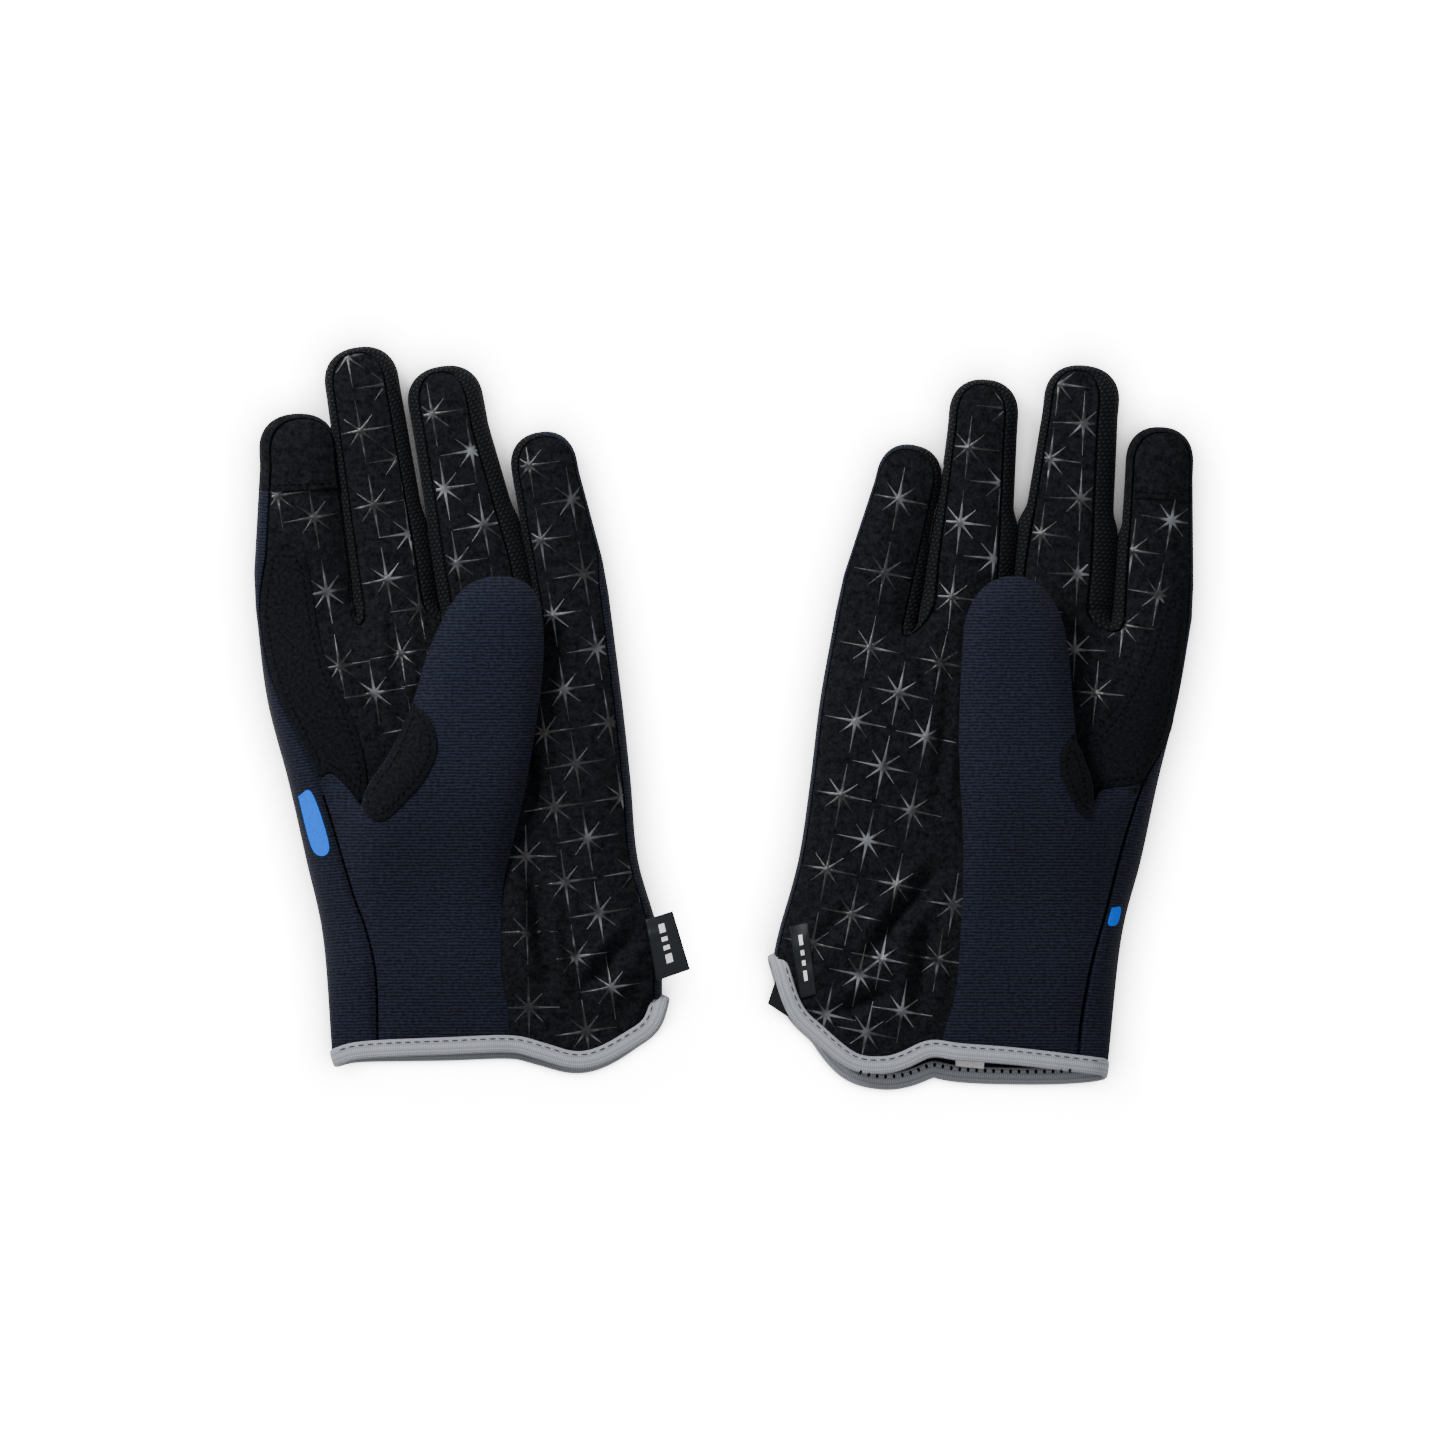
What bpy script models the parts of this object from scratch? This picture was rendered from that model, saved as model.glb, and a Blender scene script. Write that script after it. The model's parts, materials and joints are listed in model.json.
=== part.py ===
"""Pair of full-finger sailing gloves lying palm up, built as the separate sewn pieces of each glove.

Plan positions are millimetres in a frame shared by both gloves: "outer" is the distance from the plane
between them, "along" runs from cuff to fingertips and "up" is the height above the table. The left glove
is on the -X side and the right glove on the +X side, thumb edges outward. Every moving group hangs from
an empty on its hinge axis, with the empty's X along that axis.
"""

from collections import namedtuple
from math import cos, pi, radians, sin

import bmesh
import bpy
import numpy as np
from mathutils import Matrix, Vector

MM = 0.001

# Shift that puts the middle of the pair's box on the origin, in world millimetres.
CENTER_SHIFT = Vector((0.2, -2.5, 0.0))

# A finger or thumb tube: centre of its root, its tip, and its flat width, in plan millimetres.
Tube = namedtuple("Tube", "root tip width")
FINGERS = {
    "left": {
        "little": Tube((50.5, 38.8), (60.4, 93.9), 23.0),
        "ring": Tube((79.5, 38.8), (93.4, 115.3), 25.5),
        "middle": Tube((108.2, 38.8), (120.6, 121.6), 24.5),
        "index": Tube((140.2, 36.8), (143.0, 99.8), 25.0),
    },
    "right": {
        "little": Tube((48.8, 33.0), (61.3, 89.6), 22.0),
        "ring": Tube((80.0, 38.8), (85.3, 111.4), 24.5),
        "middle": Tube((108.6, 38.8), (116.5, 116.3), 25.5),
        "index": Tube((139.8, 33.0), (142.6, 96.5), 25.0),
    },
}
ROOT_HINGE_AT = 11.5
TIP_HINGE_SHARE = 0.47
CAP_LENGTH = 24.0

# The thumbs lie folded over the palms, from the lift hinge to the tip.
THUMBS = {
    "left": Tube((89.4, -37.1), (74.9, 46.7), 29.0),
    "right": Tube((97.7, -37.1), (93.7, 46.7), 29.0),
}
THUMB_ROOT_WIDTH = 36.0
THUMB_TIP_LENGTH = 32.0
THUMB_HALF_HEIGHT = 7.0
THUMB_MID = 27.8
THUMB_TOP = THUMB_MID + THUMB_HALF_HEIGHT

# The hand: its two edges and its half height at some distances along, and its cuff.
EDGE_ALONG = (-110.0, -73.0, -47.0, -20.0, 6.0, 32.0, 50.0)
THUMB_EDGE = (128.5, 132.0, 138.0, 143.5, 150.0, 154.0, 154.8)
LITTLE_EDGE = (26.0, 20.5, 26.5, 29.5, 32.5, 36.5, 40.0)
HEIGHT_ALONG = (-110.0, -44.0, 10.0, 50.0)
HALF_HEIGHT = (9.0, 10.5, 10.0, 8.6)
CUFF_ALONG = -110.0
CUFF_RISE = 18.0
BINDING_WIDTH = 5.8
BINDING_GAP = 1.4

# Seams on the palm side, as shares of the half width at some shares of the hand's length.
PALM_SEAM_AT = (0.0, 0.25, 0.43, 0.5, 0.6, 0.72, 0.83, 1.0)
PALM_SEAM = (-0.12, -0.08, -0.30, -0.30, 0.43, 0.57, 0.66, 0.72)
PATCH_SHARE = (0.5, 1.0)
PATCH_INNER_AT = (0.5, 0.6, 0.72, 0.83, 1.0)
PATCH_INNER = (0.58, 0.45, 0.57, 0.66, 0.72)
PATCH_OUTER_AT = (0.5, 0.6, 0.72, 0.8, 1.0)
PATCH_OUTER = (0.68, 0.84, 0.92, 0.972, 0.972)
BACK_SEAM_AT = (0.0, 0.55, 0.6, 0.72, 0.8, 1.0)
BACK_SEAM = (0.74, 0.82, 0.852, 0.932, 0.985, 0.985)
HEEL_SHARE = 0.43
LOBES_FROM = 0.72

# Cloth and cross-sections.
WALL = 1.5
BINDING_WALL = 2.0
FOURCHETTE_WALL = 0.9
FOURCHETTE_HALF = 2.8
SEAM_HALF = 4.8
WRAP_HALF = 2.2
PATCH_HALF = 3.5
GAP = 0.3
EDGE_RISE = 1.0
SEAT = 0.92
FULLNESS = 2.5
FINGER_ROOT_HALF = 8.4
FINGER_TIP_HALF = 7.2
HINGE_CLEARANCE = 0.4
TIP_RADIUS = 10.0
LABEL_SIZE = (8.0, 20.0, 1.2)

# Base colour and roughness of each cloth.
CLOTHS = {
    "suede": ((0.012, 0.013, 0.016, 1.0), 0.80),
    "knit": ((0.018, 0.020, 0.034, 1.0), 0.85),
    "twill": ((0.020, 0.022, 0.032, 1.0), 0.75),
    "binding": ((0.30, 0.32, 0.34, 1.0), 0.75),
    "label": ((0.010, 0.012, 0.018, 1.0), 0.60),
}

# Column of a hand panel: its place on the finger line, its wall height there and its share of the lobe.
Column = namedtuple("Column", "outer along edge lobe")


def smooth_step(low, high, value):
    share = min(max((value - low) / (high - low), 0.0), 1.0)
    return share * share * (3.0 - 2.0 * share)


def bulge(fraction):
    """Height of a flattened tube's skin, 0 to 1, at a fraction of its half width."""
    return max(1.0 - abs(fraction) ** FULLNESS, 0.0) ** (1.0 / FULLNESS)


def new_collection(name):
    collection = bpy.data.collections.new(name)
    bpy.context.scene.collection.children.link(collection)
    return collection


def cloth_material(node, cloth):
    color, roughness = CLOTHS[cloth]
    material = bpy.data.materials.new(node)
    material.use_nodes = True
    material.diffuse_color = color
    shader = material.node_tree.nodes["Principled BSDF"]
    shader.inputs["Base Color"].default_value = color
    shader.inputs["Roughness"].default_value = roughness
    shader.inputs["Metallic"].default_value = 0.0
    return material


def edge_at(edge, along):
    return float(np.interp(along, EDGE_ALONG, edge))


def half_height_at(along):
    return float(np.interp(along, HEIGHT_ALONG, HALF_HEIGHT))


def cuff_at(fraction):
    """Distance along of the cuff edge, which rises on the little finger's side."""
    return CUFF_ALONG + CUFF_RISE * smooth_step(-0.5, -1.0, fraction)


class TubeLine:
    """A finger or thumb in plan: its heading, and the place and section at a distance from its root."""

    def __init__(self, tube):
        self.root = Vector(tube.root)
        self.heading = Vector(tube.tip) - self.root
        self.length = self.heading.length
        self.heading.normalize()
        self.outward = Vector((self.heading.y, -self.heading.x))
        self.half_width = tube.width / 2

    def place(self, distance, sideways=0.0):
        return self.root + self.heading * distance + self.outward * sideways


class FingerLine(TubeLine):
    """A straight finger with a root hinge and a tip hinge at its palm-side surface."""

    def __init__(self, tube):
        super().__init__(tube)
        self.root_hinge = ROOT_HINGE_AT
        self.tip_hinge = ROOT_HINGE_AT + TIP_HINGE_SHARE * (self.length - ROOT_HINGE_AT)

    def half_height(self, distance):
        return FINGER_ROOT_HALF + (FINGER_TIP_HALF - FINGER_ROOT_HALF) * distance / self.length

    def top(self, distance):
        return self.half_height(distance) * (1 + SEAT)

    def section(self, distance):
        """Half width, half height and middle height at a distance along the finger."""
        half_height = self.half_height(distance)
        return self.half_width, half_height, half_height * SEAT


class ThumbLine(TubeLine):
    """The folded thumb: wider at its root, at one height above the palm."""

    def section(self, distance):
        root_half = THUMB_ROOT_WIDTH / 2
        half_width = root_half + (self.half_width - root_half) * min(distance / self.length * 1.4, 1.0)
        return half_width, THUMB_HALF_HEIGHT, THUMB_MID


class Glove:
    """One glove: its side, its lines, and the pivots its bodies hang from."""

    def __init__(self, name, side, collection):
        self.name = name
        self.side = side
        self.collection = collection
        self.fingers = {finger: FingerLine(tube) for finger, tube in FINGERS[name].items()}
        self.thumb = ThumbLine(THUMBS[name])
        self.front = self.front_columns()
        self.frames = {}
        self.pivots = {}

    def world(self, outer, along, up):
        return (Vector((self.side * outer, along, up)) + CENTER_SHIFT) * MM

    def add_pivot(self, body, plan, up, heading, parent=None):
        """An empty for a body, at a hinge's middle, with its Y along the heading."""
        direction = Vector((self.side * heading.x, heading.y, 0.0))
        turn = Vector((0.0, 1.0, 0.0)).rotation_difference(direction)
        frame = Matrix.Translation(self.world(plan.x, plan.y, up)) @ turn.to_matrix().to_4x4()
        empty = bpy.data.objects.new(f"{self.name}_{body}_pivot", None)
        empty.empty_display_size = 0.01
        self.collection.objects.link(empty)
        if parent:
            empty.parent = self.pivots[parent]
            empty.matrix_local = self.frames[parent].inverted() @ frame
        else:
            empty.matrix_local = frame
        self.frames[body] = frame
        self.pivots[body] = empty

    def add_pivots(self):
        self.add_pivot("hand", Vector((77.0, CUFF_ALONG)), 0.0, Vector((0.0, 1.0)))
        for finger, line in self.fingers.items():
            root_top = line.top(line.root_hinge) + HINGE_CLEARANCE
            tip_top = line.top(line.tip_hinge) + HINGE_CLEARANCE
            base, tip = f"{finger}_base", f"{finger}_tip"
            self.add_pivot(base, line.place(line.root_hinge), root_top, line.heading, "hand")
            self.add_pivot(tip, line.place(line.tip_hinge), tip_top, line.heading, base)
        thumb = self.thumb
        thumb_top = THUMB_TOP + HINGE_CLEARANCE
        tip_start = thumb.length - THUMB_TIP_LENGTH
        self.add_pivot("thumb_base", thumb.root, thumb_top, thumb.heading, "hand")
        self.add_pivot("thumb_tip", thumb.place(tip_start), thumb_top, thumb.heading, "thumb_base")

    def add_object(self, node, mesh, cloth, body):
        piece = bpy.data.objects.new(f"{self.name}_{node}", mesh)
        self.collection.objects.link(piece)
        piece.parent = self.pivots[body]
        mesh.materials.append(cloth_material(piece.name, cloth))
        mesh.shade_smooth()
        return piece

    def sheet(self, node, body, cloth, place, columns, rows, wall=WALL, ring=False):
        """A grid laid out by place(column, row) in millimetres, outer side out, then thickened inward."""
        grid = bmesh.new()
        bmesh.ops.create_grid(grid, x_segments=columns - 1, y_segments=rows - 1, size=1.0)
        to_body = self.frames[body].inverted()
        for vertex in grid.verts:
            column = round((vertex.co.x + 1.0) / 2 * (columns - 1))
            row = round((vertex.co.y + 1.0) / 2 * (rows - 1))
            vertex.co = to_body @ self.world(*place(column, row))
        if ring:
            bmesh.ops.remove_doubles(grid, verts=grid.verts, dist=0.01 * MM)
        if self.side < 0:
            bmesh.ops.reverse_faces(grid, faces=grid.faces)
        mesh = bpy.data.meshes.new(f"{self.name}_{node}")
        grid.to_mesh(mesh)
        grid.free()
        piece = self.add_object(node, mesh, cloth, body)
        solidify = piece.modifiers.new("cloth", "SOLIDIFY")
        solidify.thickness = wall * MM
        solidify.offset = -1.0

    # Fingers and thumb

    def tube_half(self, node, body, cloth, line, stations, face):
        """Palm side (face 1) or back (face -1) of a tube; a station is distance, width and height shares."""
        spread = 7

        def place(column, row):
            distance, width_share, height_share = stations[row]
            half_width, half_height, middle = line.section(distance)
            angle = pi * (1 - column / (spread - 1)) if face > 0 else -pi * column / (spread - 1)
            sideways = half_width * width_share * np.sign(cos(angle)) * abs(cos(angle)) ** (2 / FULLNESS)
            rise = max(half_height * height_share * abs(sin(angle)) ** (2 / FULLNESS), EDGE_RISE)
            plan = line.place(distance, sideways)
            return plan.x, plan.y, max(middle + face * rise, 0.0)

        self.sheet(node, body, cloth, place, spread, len(stations))

    def finger_pieces(self, finger):
        line = self.fingers[finger]
        base = [(d, 1.0, 1.0) for d in np.linspace(line.root_hinge + GAP / 2, line.tip_hinge - GAP / 2, 3)]
        tip_start = line.tip_hinge + GAP / 2
        cap_start = line.length - CAP_LENGTH
        for face, side_name, cloth in ((1, "front", "suede"), (-1, "back", "knit")):
            self.tube_half(f"{finger}_{side_name}_base", f"{finger}_base", cloth, line, base, face)
            if finger == "index" and face == 1:
                strip = [(tip_start, 1.0, 1.0), (cap_start - GAP, 1.0, 1.0)]
                self.tube_half("index_front_tip", "index_tip", cloth, line, strip, face)
                cap = tip_stations(line, cap_start)
                self.tube_half("index_tip_cap", "index_tip", cloth, line, cap, face)
            else:
                tip = tip_stations(line, tip_start)
                self.tube_half(f"{finger}_{side_name}_tip", f"{finger}_tip", cloth, line, tip, face)

    def thumb_pieces(self):
        line = self.thumb
        tip_start = line.length - THUMB_TIP_LENGTH
        base = [(d, 1.0, 1.0) for d in np.linspace(GAP / 2, tip_start - GAP / 2, 5)]
        self.tube_half("thumb_back", "thumb_base", "knit", line, base, 1)
        self.tube_half("thumb_front", "thumb_base", "suede", line, base, -1)
        stations = tip_stations(line, tip_start + GAP / 2)
        around = 13

        def place(column, row):
            distance, width_share, height_share = stations[row]
            half_width, half_height, middle = line.section(distance)
            angle = pi - 2 * pi * (column % (around - 1)) / (around - 1)
            sideways = half_width * width_share * np.sign(cos(angle)) * abs(cos(angle)) ** (2 / FULLNESS)
            rise = half_height * height_share * np.sign(sin(angle)) * abs(sin(angle)) ** (2 / FULLNESS)
            plan = line.place(distance, sideways)
            return plan.x, plan.y, middle + rise

        self.sheet("thumb_tip", "thumb_tip", "knit", place, around, len(stations), ring=True)

    # Hand

    def front_columns(self):
        """Columns of the hand's finger end, from the little finger's edge to the index finger's."""
        columns = []
        for finger, line in self.fingers.items():
            if columns:
                before = columns[-1]
                start = line.place(line.root_hinge, -line.half_width)
                crotch = min(before.along, start.y) - ROOT_HINGE_AT
                columns.append(Column((before.outer + start.x) / 2, crotch, SEAM_HALF, 0.0))
            for fraction in (-1.0, -0.7, 0.0, 0.7, 1.0):
                plan = line.place(line.root_hinge - GAP / 2, fraction * line.half_width)
                inner_share = {"little": (1 + fraction) / 2, "index": (1 - fraction) / 2}.get(finger, 1.0)
                columns.append(Column(plan.x, plan.y, SEAM_HALF * inner_share, bulge(fraction)))
        return columns

    def column_fraction(self, column):
        """Share of the half width at which a column runs down the hand."""
        little = edge_at(LITTLE_EDGE, column.along)
        thumb = edge_at(THUMB_EDGE, column.along)
        return min(max((2 * column.outer - thumb - little) / (thumb - little), -1.0), 1.0)

    def skin(self, fraction, share, face, column):
        """Point of the hand's skin: face 1 on the palm side, face -1 on the back."""
        along = cuff_at(fraction) + share * (column.along - cuff_at(fraction))
        little = edge_at(LITTLE_EDGE, along)
        thumb = edge_at(THUMB_EDGE, along)
        outer = (thumb + little) / 2 + fraction * (thumb - little) / 2
        half_height = half_height_at(along)
        arch = half_height * bulge(fraction)
        lobe = column.edge + (half_height - column.edge) * column.lobe
        blend = smooth_step(LOBES_FROM, 1.0, share)
        rise = max(arch + (lobe - arch) * blend, EDGE_RISE)
        return outer, along, max(half_height * SEAT + face * rise, 0.0)

    def hand_sheet(self, node, cloth, columns, low, high, shares, face=1, hump=None):
        """A hand panel between two seams, low(share) and high(share), over a run of length shares."""
        fractions = [self.column_fraction(column) for column in columns]
        first, last = fractions[0], fractions[-1]

        def place(column, row):
            share = shares[row]
            run = (fractions[column] - first) / (last - first)
            fraction = low(share) + (high(share) - low(share)) * run
            point = self.skin(fraction, share, face, columns[column])
            return hump(*point) if hump else point

        self.sheet(node, "hand", cloth, place, len(columns), len(shares))

    def palm_side_pieces(self):
        index_middle = len(self.front) - 3
        palm = self.front[: index_middle + 1]
        patch = self.front[index_middle:]
        patch[-1] = patch[-1]._replace(edge=PATCH_HALF)
        seam_gap = 0.012
        self.hand_sheet(
            "palm_panel", "suede", palm,
            lambda share: -1.0,
            lambda share: float(np.interp(share, PALM_SEAM_AT, PALM_SEAM)) - seam_gap,
            np.linspace(0.0, 1.0, 13),
        )
        self.hand_sheet(
            "index_side_patch", "suede", patch,
            lambda share: float(np.interp(share, PATCH_INNER_AT, PATCH_INNER)),
            lambda share: float(np.interp(share, PATCH_OUTER_AT, PATCH_OUTER)),
            np.linspace(*PATCH_SHARE, 7),
        )
        flat = [Column(outer, 50.0, 0.0, 0.0) for outer in np.linspace(60.0, 140.0, 12)]
        self.hand_sheet(
            "heel_panel", "knit", flat,
            lambda share: float(np.interp(share, PALM_SEAM_AT, PALM_SEAM)) + seam_gap,
            lambda share: float(np.interp(share, BACK_SEAM_AT, BACK_SEAM)) - seam_gap,
            np.linspace(0.0, HEEL_SHARE, 7),
            hump=self.thumb_hump,
        )

    def thumb_hump(self, outer, along, up):
        """Lifts the heel panel to meet the top of the folded thumb."""
        root = self.thumb.root
        slant = self.thumb.heading.x / self.thumb.heading.y
        hinge = root.y - 2 * GAP - (outer - root.x) * slant
        climb = smooth_step(CUFF_ALONG, hinge, along)
        arch = bulge(min(abs(outer - root.x) / (THUMB_ROOT_WIDTH / 2), 1.0))
        return outer, min(along, hinge), up + (THUMB_TOP - up) * climb * arch

    def back_panel(self):
        """Back of the hand, which wraps round the thumb edge up to its seam on the palm side."""
        bottom = list(reversed(self.front))
        wrap = 3
        columns = [bottom[0]._replace(edge=WRAP_HALF, lobe=0.0)] * wrap + bottom
        fractions = [self.column_fraction(column) for column in bottom]
        shares = np.linspace(0.0, 1.0, 11)

        def place(column, row):
            share = shares[row]
            if column >= wrap:
                return self.skin(fractions[column - wrap], share, -1, columns[column])
            seam = float(np.interp(share, BACK_SEAM_AT, BACK_SEAM))
            fraction = seam + (1.0 - seam) * (1 - (1 - column / wrap) ** 2)
            return self.skin(fraction, share, 1, columns[column])

        self.sheet("back_panel", "hand", "knit", place, len(columns), len(shares))

    def crotch_patch(self):
        """Slanted patch from the palm up to the thumb's outer edge."""
        line = self.thumb
        rows = 6

        def place(column, row):
            distance = 6.0 + 34.0 * row / (rows - 1)
            half_width = line.section(distance)[0]
            reach = 8.0 * sin(pi * (0.12 + 0.76 * row / (rows - 1)))
            plan = line.place(distance, half_width + 1.0 + reach * column / 2)
            return plan.x, plan.y, 26.5 - 2.0 * column

        self.sheet("thumb_crotch_patch", "hand", "suede", place, 3, rows, wall=1.0)

    def fourchette(self, name, first, second):
        """Gusset wall round the crotch between two neighbouring fingers."""
        start = self.fingers[first]
        end = self.fingers[second]
        side_a = start.place(start.root_hinge - GAP, start.half_width)
        side_b = end.place(end.root_hinge - GAP, -end.half_width)
        crotch = (side_a + side_b) / 2 - Vector((0.0, ROOT_HINGE_AT))
        path = [side_a, side_a.lerp(crotch, 0.6), crotch, side_b.lerp(crotch, 0.6), side_b]

        def place(column, row):
            plan = path[column]
            middle = half_height_at(plan.y) * SEAT
            return plan.x, plan.y, middle + FOURCHETTE_HALF * (1 - 2 * row)

        self.sheet(name, "hand", "twill", place, len(path), 2, wall=FOURCHETTE_WALL)

    def binding(self):
        """Bound edge round the cuff opening."""
        around = 33

        def place(column, row):
            angle = pi - 2 * pi * (column % (around - 1)) / (around - 1)
            fraction = np.sign(cos(angle)) * abs(cos(angle)) ** (2 / FULLNESS)
            cuff = cuff_at(fraction)
            little = edge_at(LITTLE_EDGE, cuff)
            thumb = edge_at(THUMB_EDGE, cuff)
            half_height = half_height_at(cuff)
            outer = (thumb + little) / 2 + fraction * (thumb - little) / 2
            rise = half_height * np.sign(sin(angle)) * abs(sin(angle)) ** (2 / FULLNESS)
            along = cuff - BINDING_GAP - BINDING_WIDTH * (1 - row)
            return outer, along, max(half_height * SEAT + rise, 0.0)

        self.sheet("cuff_binding", "hand", "binding", place, around, 2, wall=BINDING_WALL, ring=True)

    def side_label(self):
        """Folded woven label sewn into the side seam near the cuff."""
        block = bmesh.new()
        bmesh.ops.create_cube(block, size=1.0)
        along = CUFF_ALONG + 31.0
        outer = edge_at(LITTLE_EDGE, along) - LABEL_SIZE[0] / 2 - 2 * GAP
        middle = half_height_at(along) * SEAT
        size = Matrix.Diagonal(Vector(LABEL_SIZE) * MM).to_4x4()
        place = Matrix.Translation(self.world(outer, along, middle))
        turn = Matrix.Rotation(radians(8.0) * self.side, 4, "Z")
        block.transform(self.frames["hand"].inverted() @ place @ turn @ size)
        mesh = bpy.data.meshes.new(f"{self.name}_side_label")
        block.to_mesh(mesh)
        block.free()
        self.add_object("side_label", mesh, "label", "hand")

    def build(self):
        self.add_pivots()
        self.palm_side_pieces()
        self.back_panel()
        self.crotch_patch()
        order = ("little", "ring", "middle", "index")
        for first, second in zip(order, order[1:]):
            self.fourchette(f"fourchette_{first}_{second}", first, second)
        self.binding()
        self.side_label()
        self.thumb_pieces()
        for finger in order:
            self.finger_pieces(finger)


def tip_stations(line, start):
    """Stations of a rounded tip: the tube narrows over its last stretch and closes with a blunt wall."""
    bend = line.length - TIP_RADIUS
    stations = [(start, 1.0, 1.0)]
    for turn in (0.0, 35.0, 60.0):
        narrow = cos(radians(turn)) ** 0.8
        stations.append((bend + TIP_RADIUS * sin(radians(turn)), narrow, narrow))
    stations.append((stations[-1][0] + 1.0, stations[-1][1] * 0.95, 0.0))
    return stations


def main():
    for old in list(bpy.data.objects):
        bpy.data.objects.remove(old)
    collection = new_collection("sailing_gloves")
    Glove("left", -1, collection).build()
    Glove("right", 1, collection).build()


main()
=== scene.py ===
"""Looks of a pair of sailing gloves that lie palm up with their thumbs folded over the palms.

Plan coordinates are millimetres in the row frame. `outer` is the distance from the pair's middle line
towards either thumb edge, and `along` runs from the cuffs to the finger tips. A finger's own frame has its
distance `d` from the root hinge and `lateral` across it, towards +X. A `hand` is -1 for the -X side of
something and 1 for its +X side.
"""

import json
from dataclasses import dataclass
from math import cos, pi, radians, sin

import bpy
import numpy as np
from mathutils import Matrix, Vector, noise
from mathutils.bvhtree import BVHTree
from mathutils.geometry import delaunay_2d_cdt

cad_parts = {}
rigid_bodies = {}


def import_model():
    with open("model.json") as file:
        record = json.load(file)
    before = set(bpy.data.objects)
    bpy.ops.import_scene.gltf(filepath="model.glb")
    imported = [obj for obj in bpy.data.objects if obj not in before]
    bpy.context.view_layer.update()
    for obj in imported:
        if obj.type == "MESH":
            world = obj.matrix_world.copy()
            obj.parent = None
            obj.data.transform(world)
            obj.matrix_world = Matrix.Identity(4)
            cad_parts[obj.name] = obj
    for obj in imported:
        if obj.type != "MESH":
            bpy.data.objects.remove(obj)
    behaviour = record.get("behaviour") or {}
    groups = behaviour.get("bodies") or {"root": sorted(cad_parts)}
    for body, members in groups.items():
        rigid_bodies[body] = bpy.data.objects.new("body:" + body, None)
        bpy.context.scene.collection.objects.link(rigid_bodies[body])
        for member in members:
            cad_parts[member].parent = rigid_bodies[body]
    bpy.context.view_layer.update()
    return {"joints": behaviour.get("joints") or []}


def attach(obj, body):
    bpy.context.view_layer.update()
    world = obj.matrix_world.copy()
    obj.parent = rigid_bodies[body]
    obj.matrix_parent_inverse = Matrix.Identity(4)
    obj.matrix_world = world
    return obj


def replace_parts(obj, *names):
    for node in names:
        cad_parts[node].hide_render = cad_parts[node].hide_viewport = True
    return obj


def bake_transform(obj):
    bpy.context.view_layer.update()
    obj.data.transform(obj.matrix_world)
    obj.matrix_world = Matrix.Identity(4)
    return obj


MM = 0.001
SIDES = {"left": -1, "right": 1}
ORDER = {
    "left": ("index", "middle", "ring", "little"),
    "right": ("little", "ring", "middle", "index"),
}
MIDDLE_X = 0.2
ALONG_SHIFT = -2.5

# Surfaces
FRONT_SPACING = 1.3
BACK_SPACING = 2.2
EDGE_HEIGHT = 7.0
FINGER_TOP = 15.7
PALM_TOP = 20.0
CUFF_TOP = 15.0
TABLE_GAP = 0.25
BACK_EDGE_HEIGHT = 2.8
BACK_CUFF_HEIGHT = 1.6
BACK_INSET = 2.0
ABOVE_ALL = 90.0
DOWN = Vector((0, 0, -1))
FALLBACK_HEIGHT = 12.0
FLANK_ANGLES = np.radians((8, 14, 22, 36, 54, 72, 90, 115, 140, 160, 180))
GROOVE_DEPTH = 2.6
GROOVE_TUCK = 0.45
SHOULDER_DROP = 0.5
RELAX_STEPS = 260
FOLD_STRENGTH = 1.7

# Fingers
SPLIT = -11.5
BEND_ZONE = 11.0
TIP_ROUND = 12.0
TIP_POWER = 2 / 2.3
TIP_INSET = 2.0
TIP_EASE = 7
JOIN_END = 15.0
VALLEY_STEPS = 20
VALLEY_POWER = 2 / 2.4
VALLEY_DEPTHS = (7.0, 3.0, 4.0)
VALLEY_INSET = 4.5
SIDE_STEPS = 38
TIP_STEPS = 26
HAND_STEPS = 64
CUFF_STEPS = 72
OFF_FINGER = -99.0

# Thumbs
THUMB_EDGE_HEIGHT = 26.0
THUMB_TOP = 33.6
THUMB_SPLIT = -12.0
THUMB_ZONE = 11.0


@dataclass
class FingerShape:
    """Length past the root hinge, centre offset and half width (root, towards the tip), visible walls."""

    length: float
    centre: tuple
    half: tuple
    taper: float
    walls: tuple


SHAPES = {
    "left_index": FingerShape(52.0, (0.9, 1.2), (16.0, 12.8), 35.0, (4.0, 1.0)),
    "left_middle": FingerShape(73.0, (-0.8, -1.2), (13.3, 12.3), 57.0, (3.0, 5.0)),
    "left_ring": FingerShape(67.0, (0.7, -1.0), (15.3, 12.5), 45.0, (4.0, 6.0)),
    "left_little": FingerShape(45.0, (-0.3, -1.5), (12.3, 11.0), 30.0, (2.5, 1.2)),
    "right_little": FingerShape(47.0, (-0.4, 1.3), (12.4, 10.8), 33.0, (1.0, 2.5)),
    "right_ring": FingerShape(61.5, (-0.1, 0.5), (13.3, 11.5), 45.0, (3.0, 4.6)),
    "right_middle": FingerShape(66.5, (1.9, 2.0), (15.4, 12.5), 50.0, (3.0, 7.0)),
    "right_index": FingerShape(51.5, (1.6, 1.0), (12.4, 11.2), 35.0, (3.0, 1.2)),
}

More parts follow.
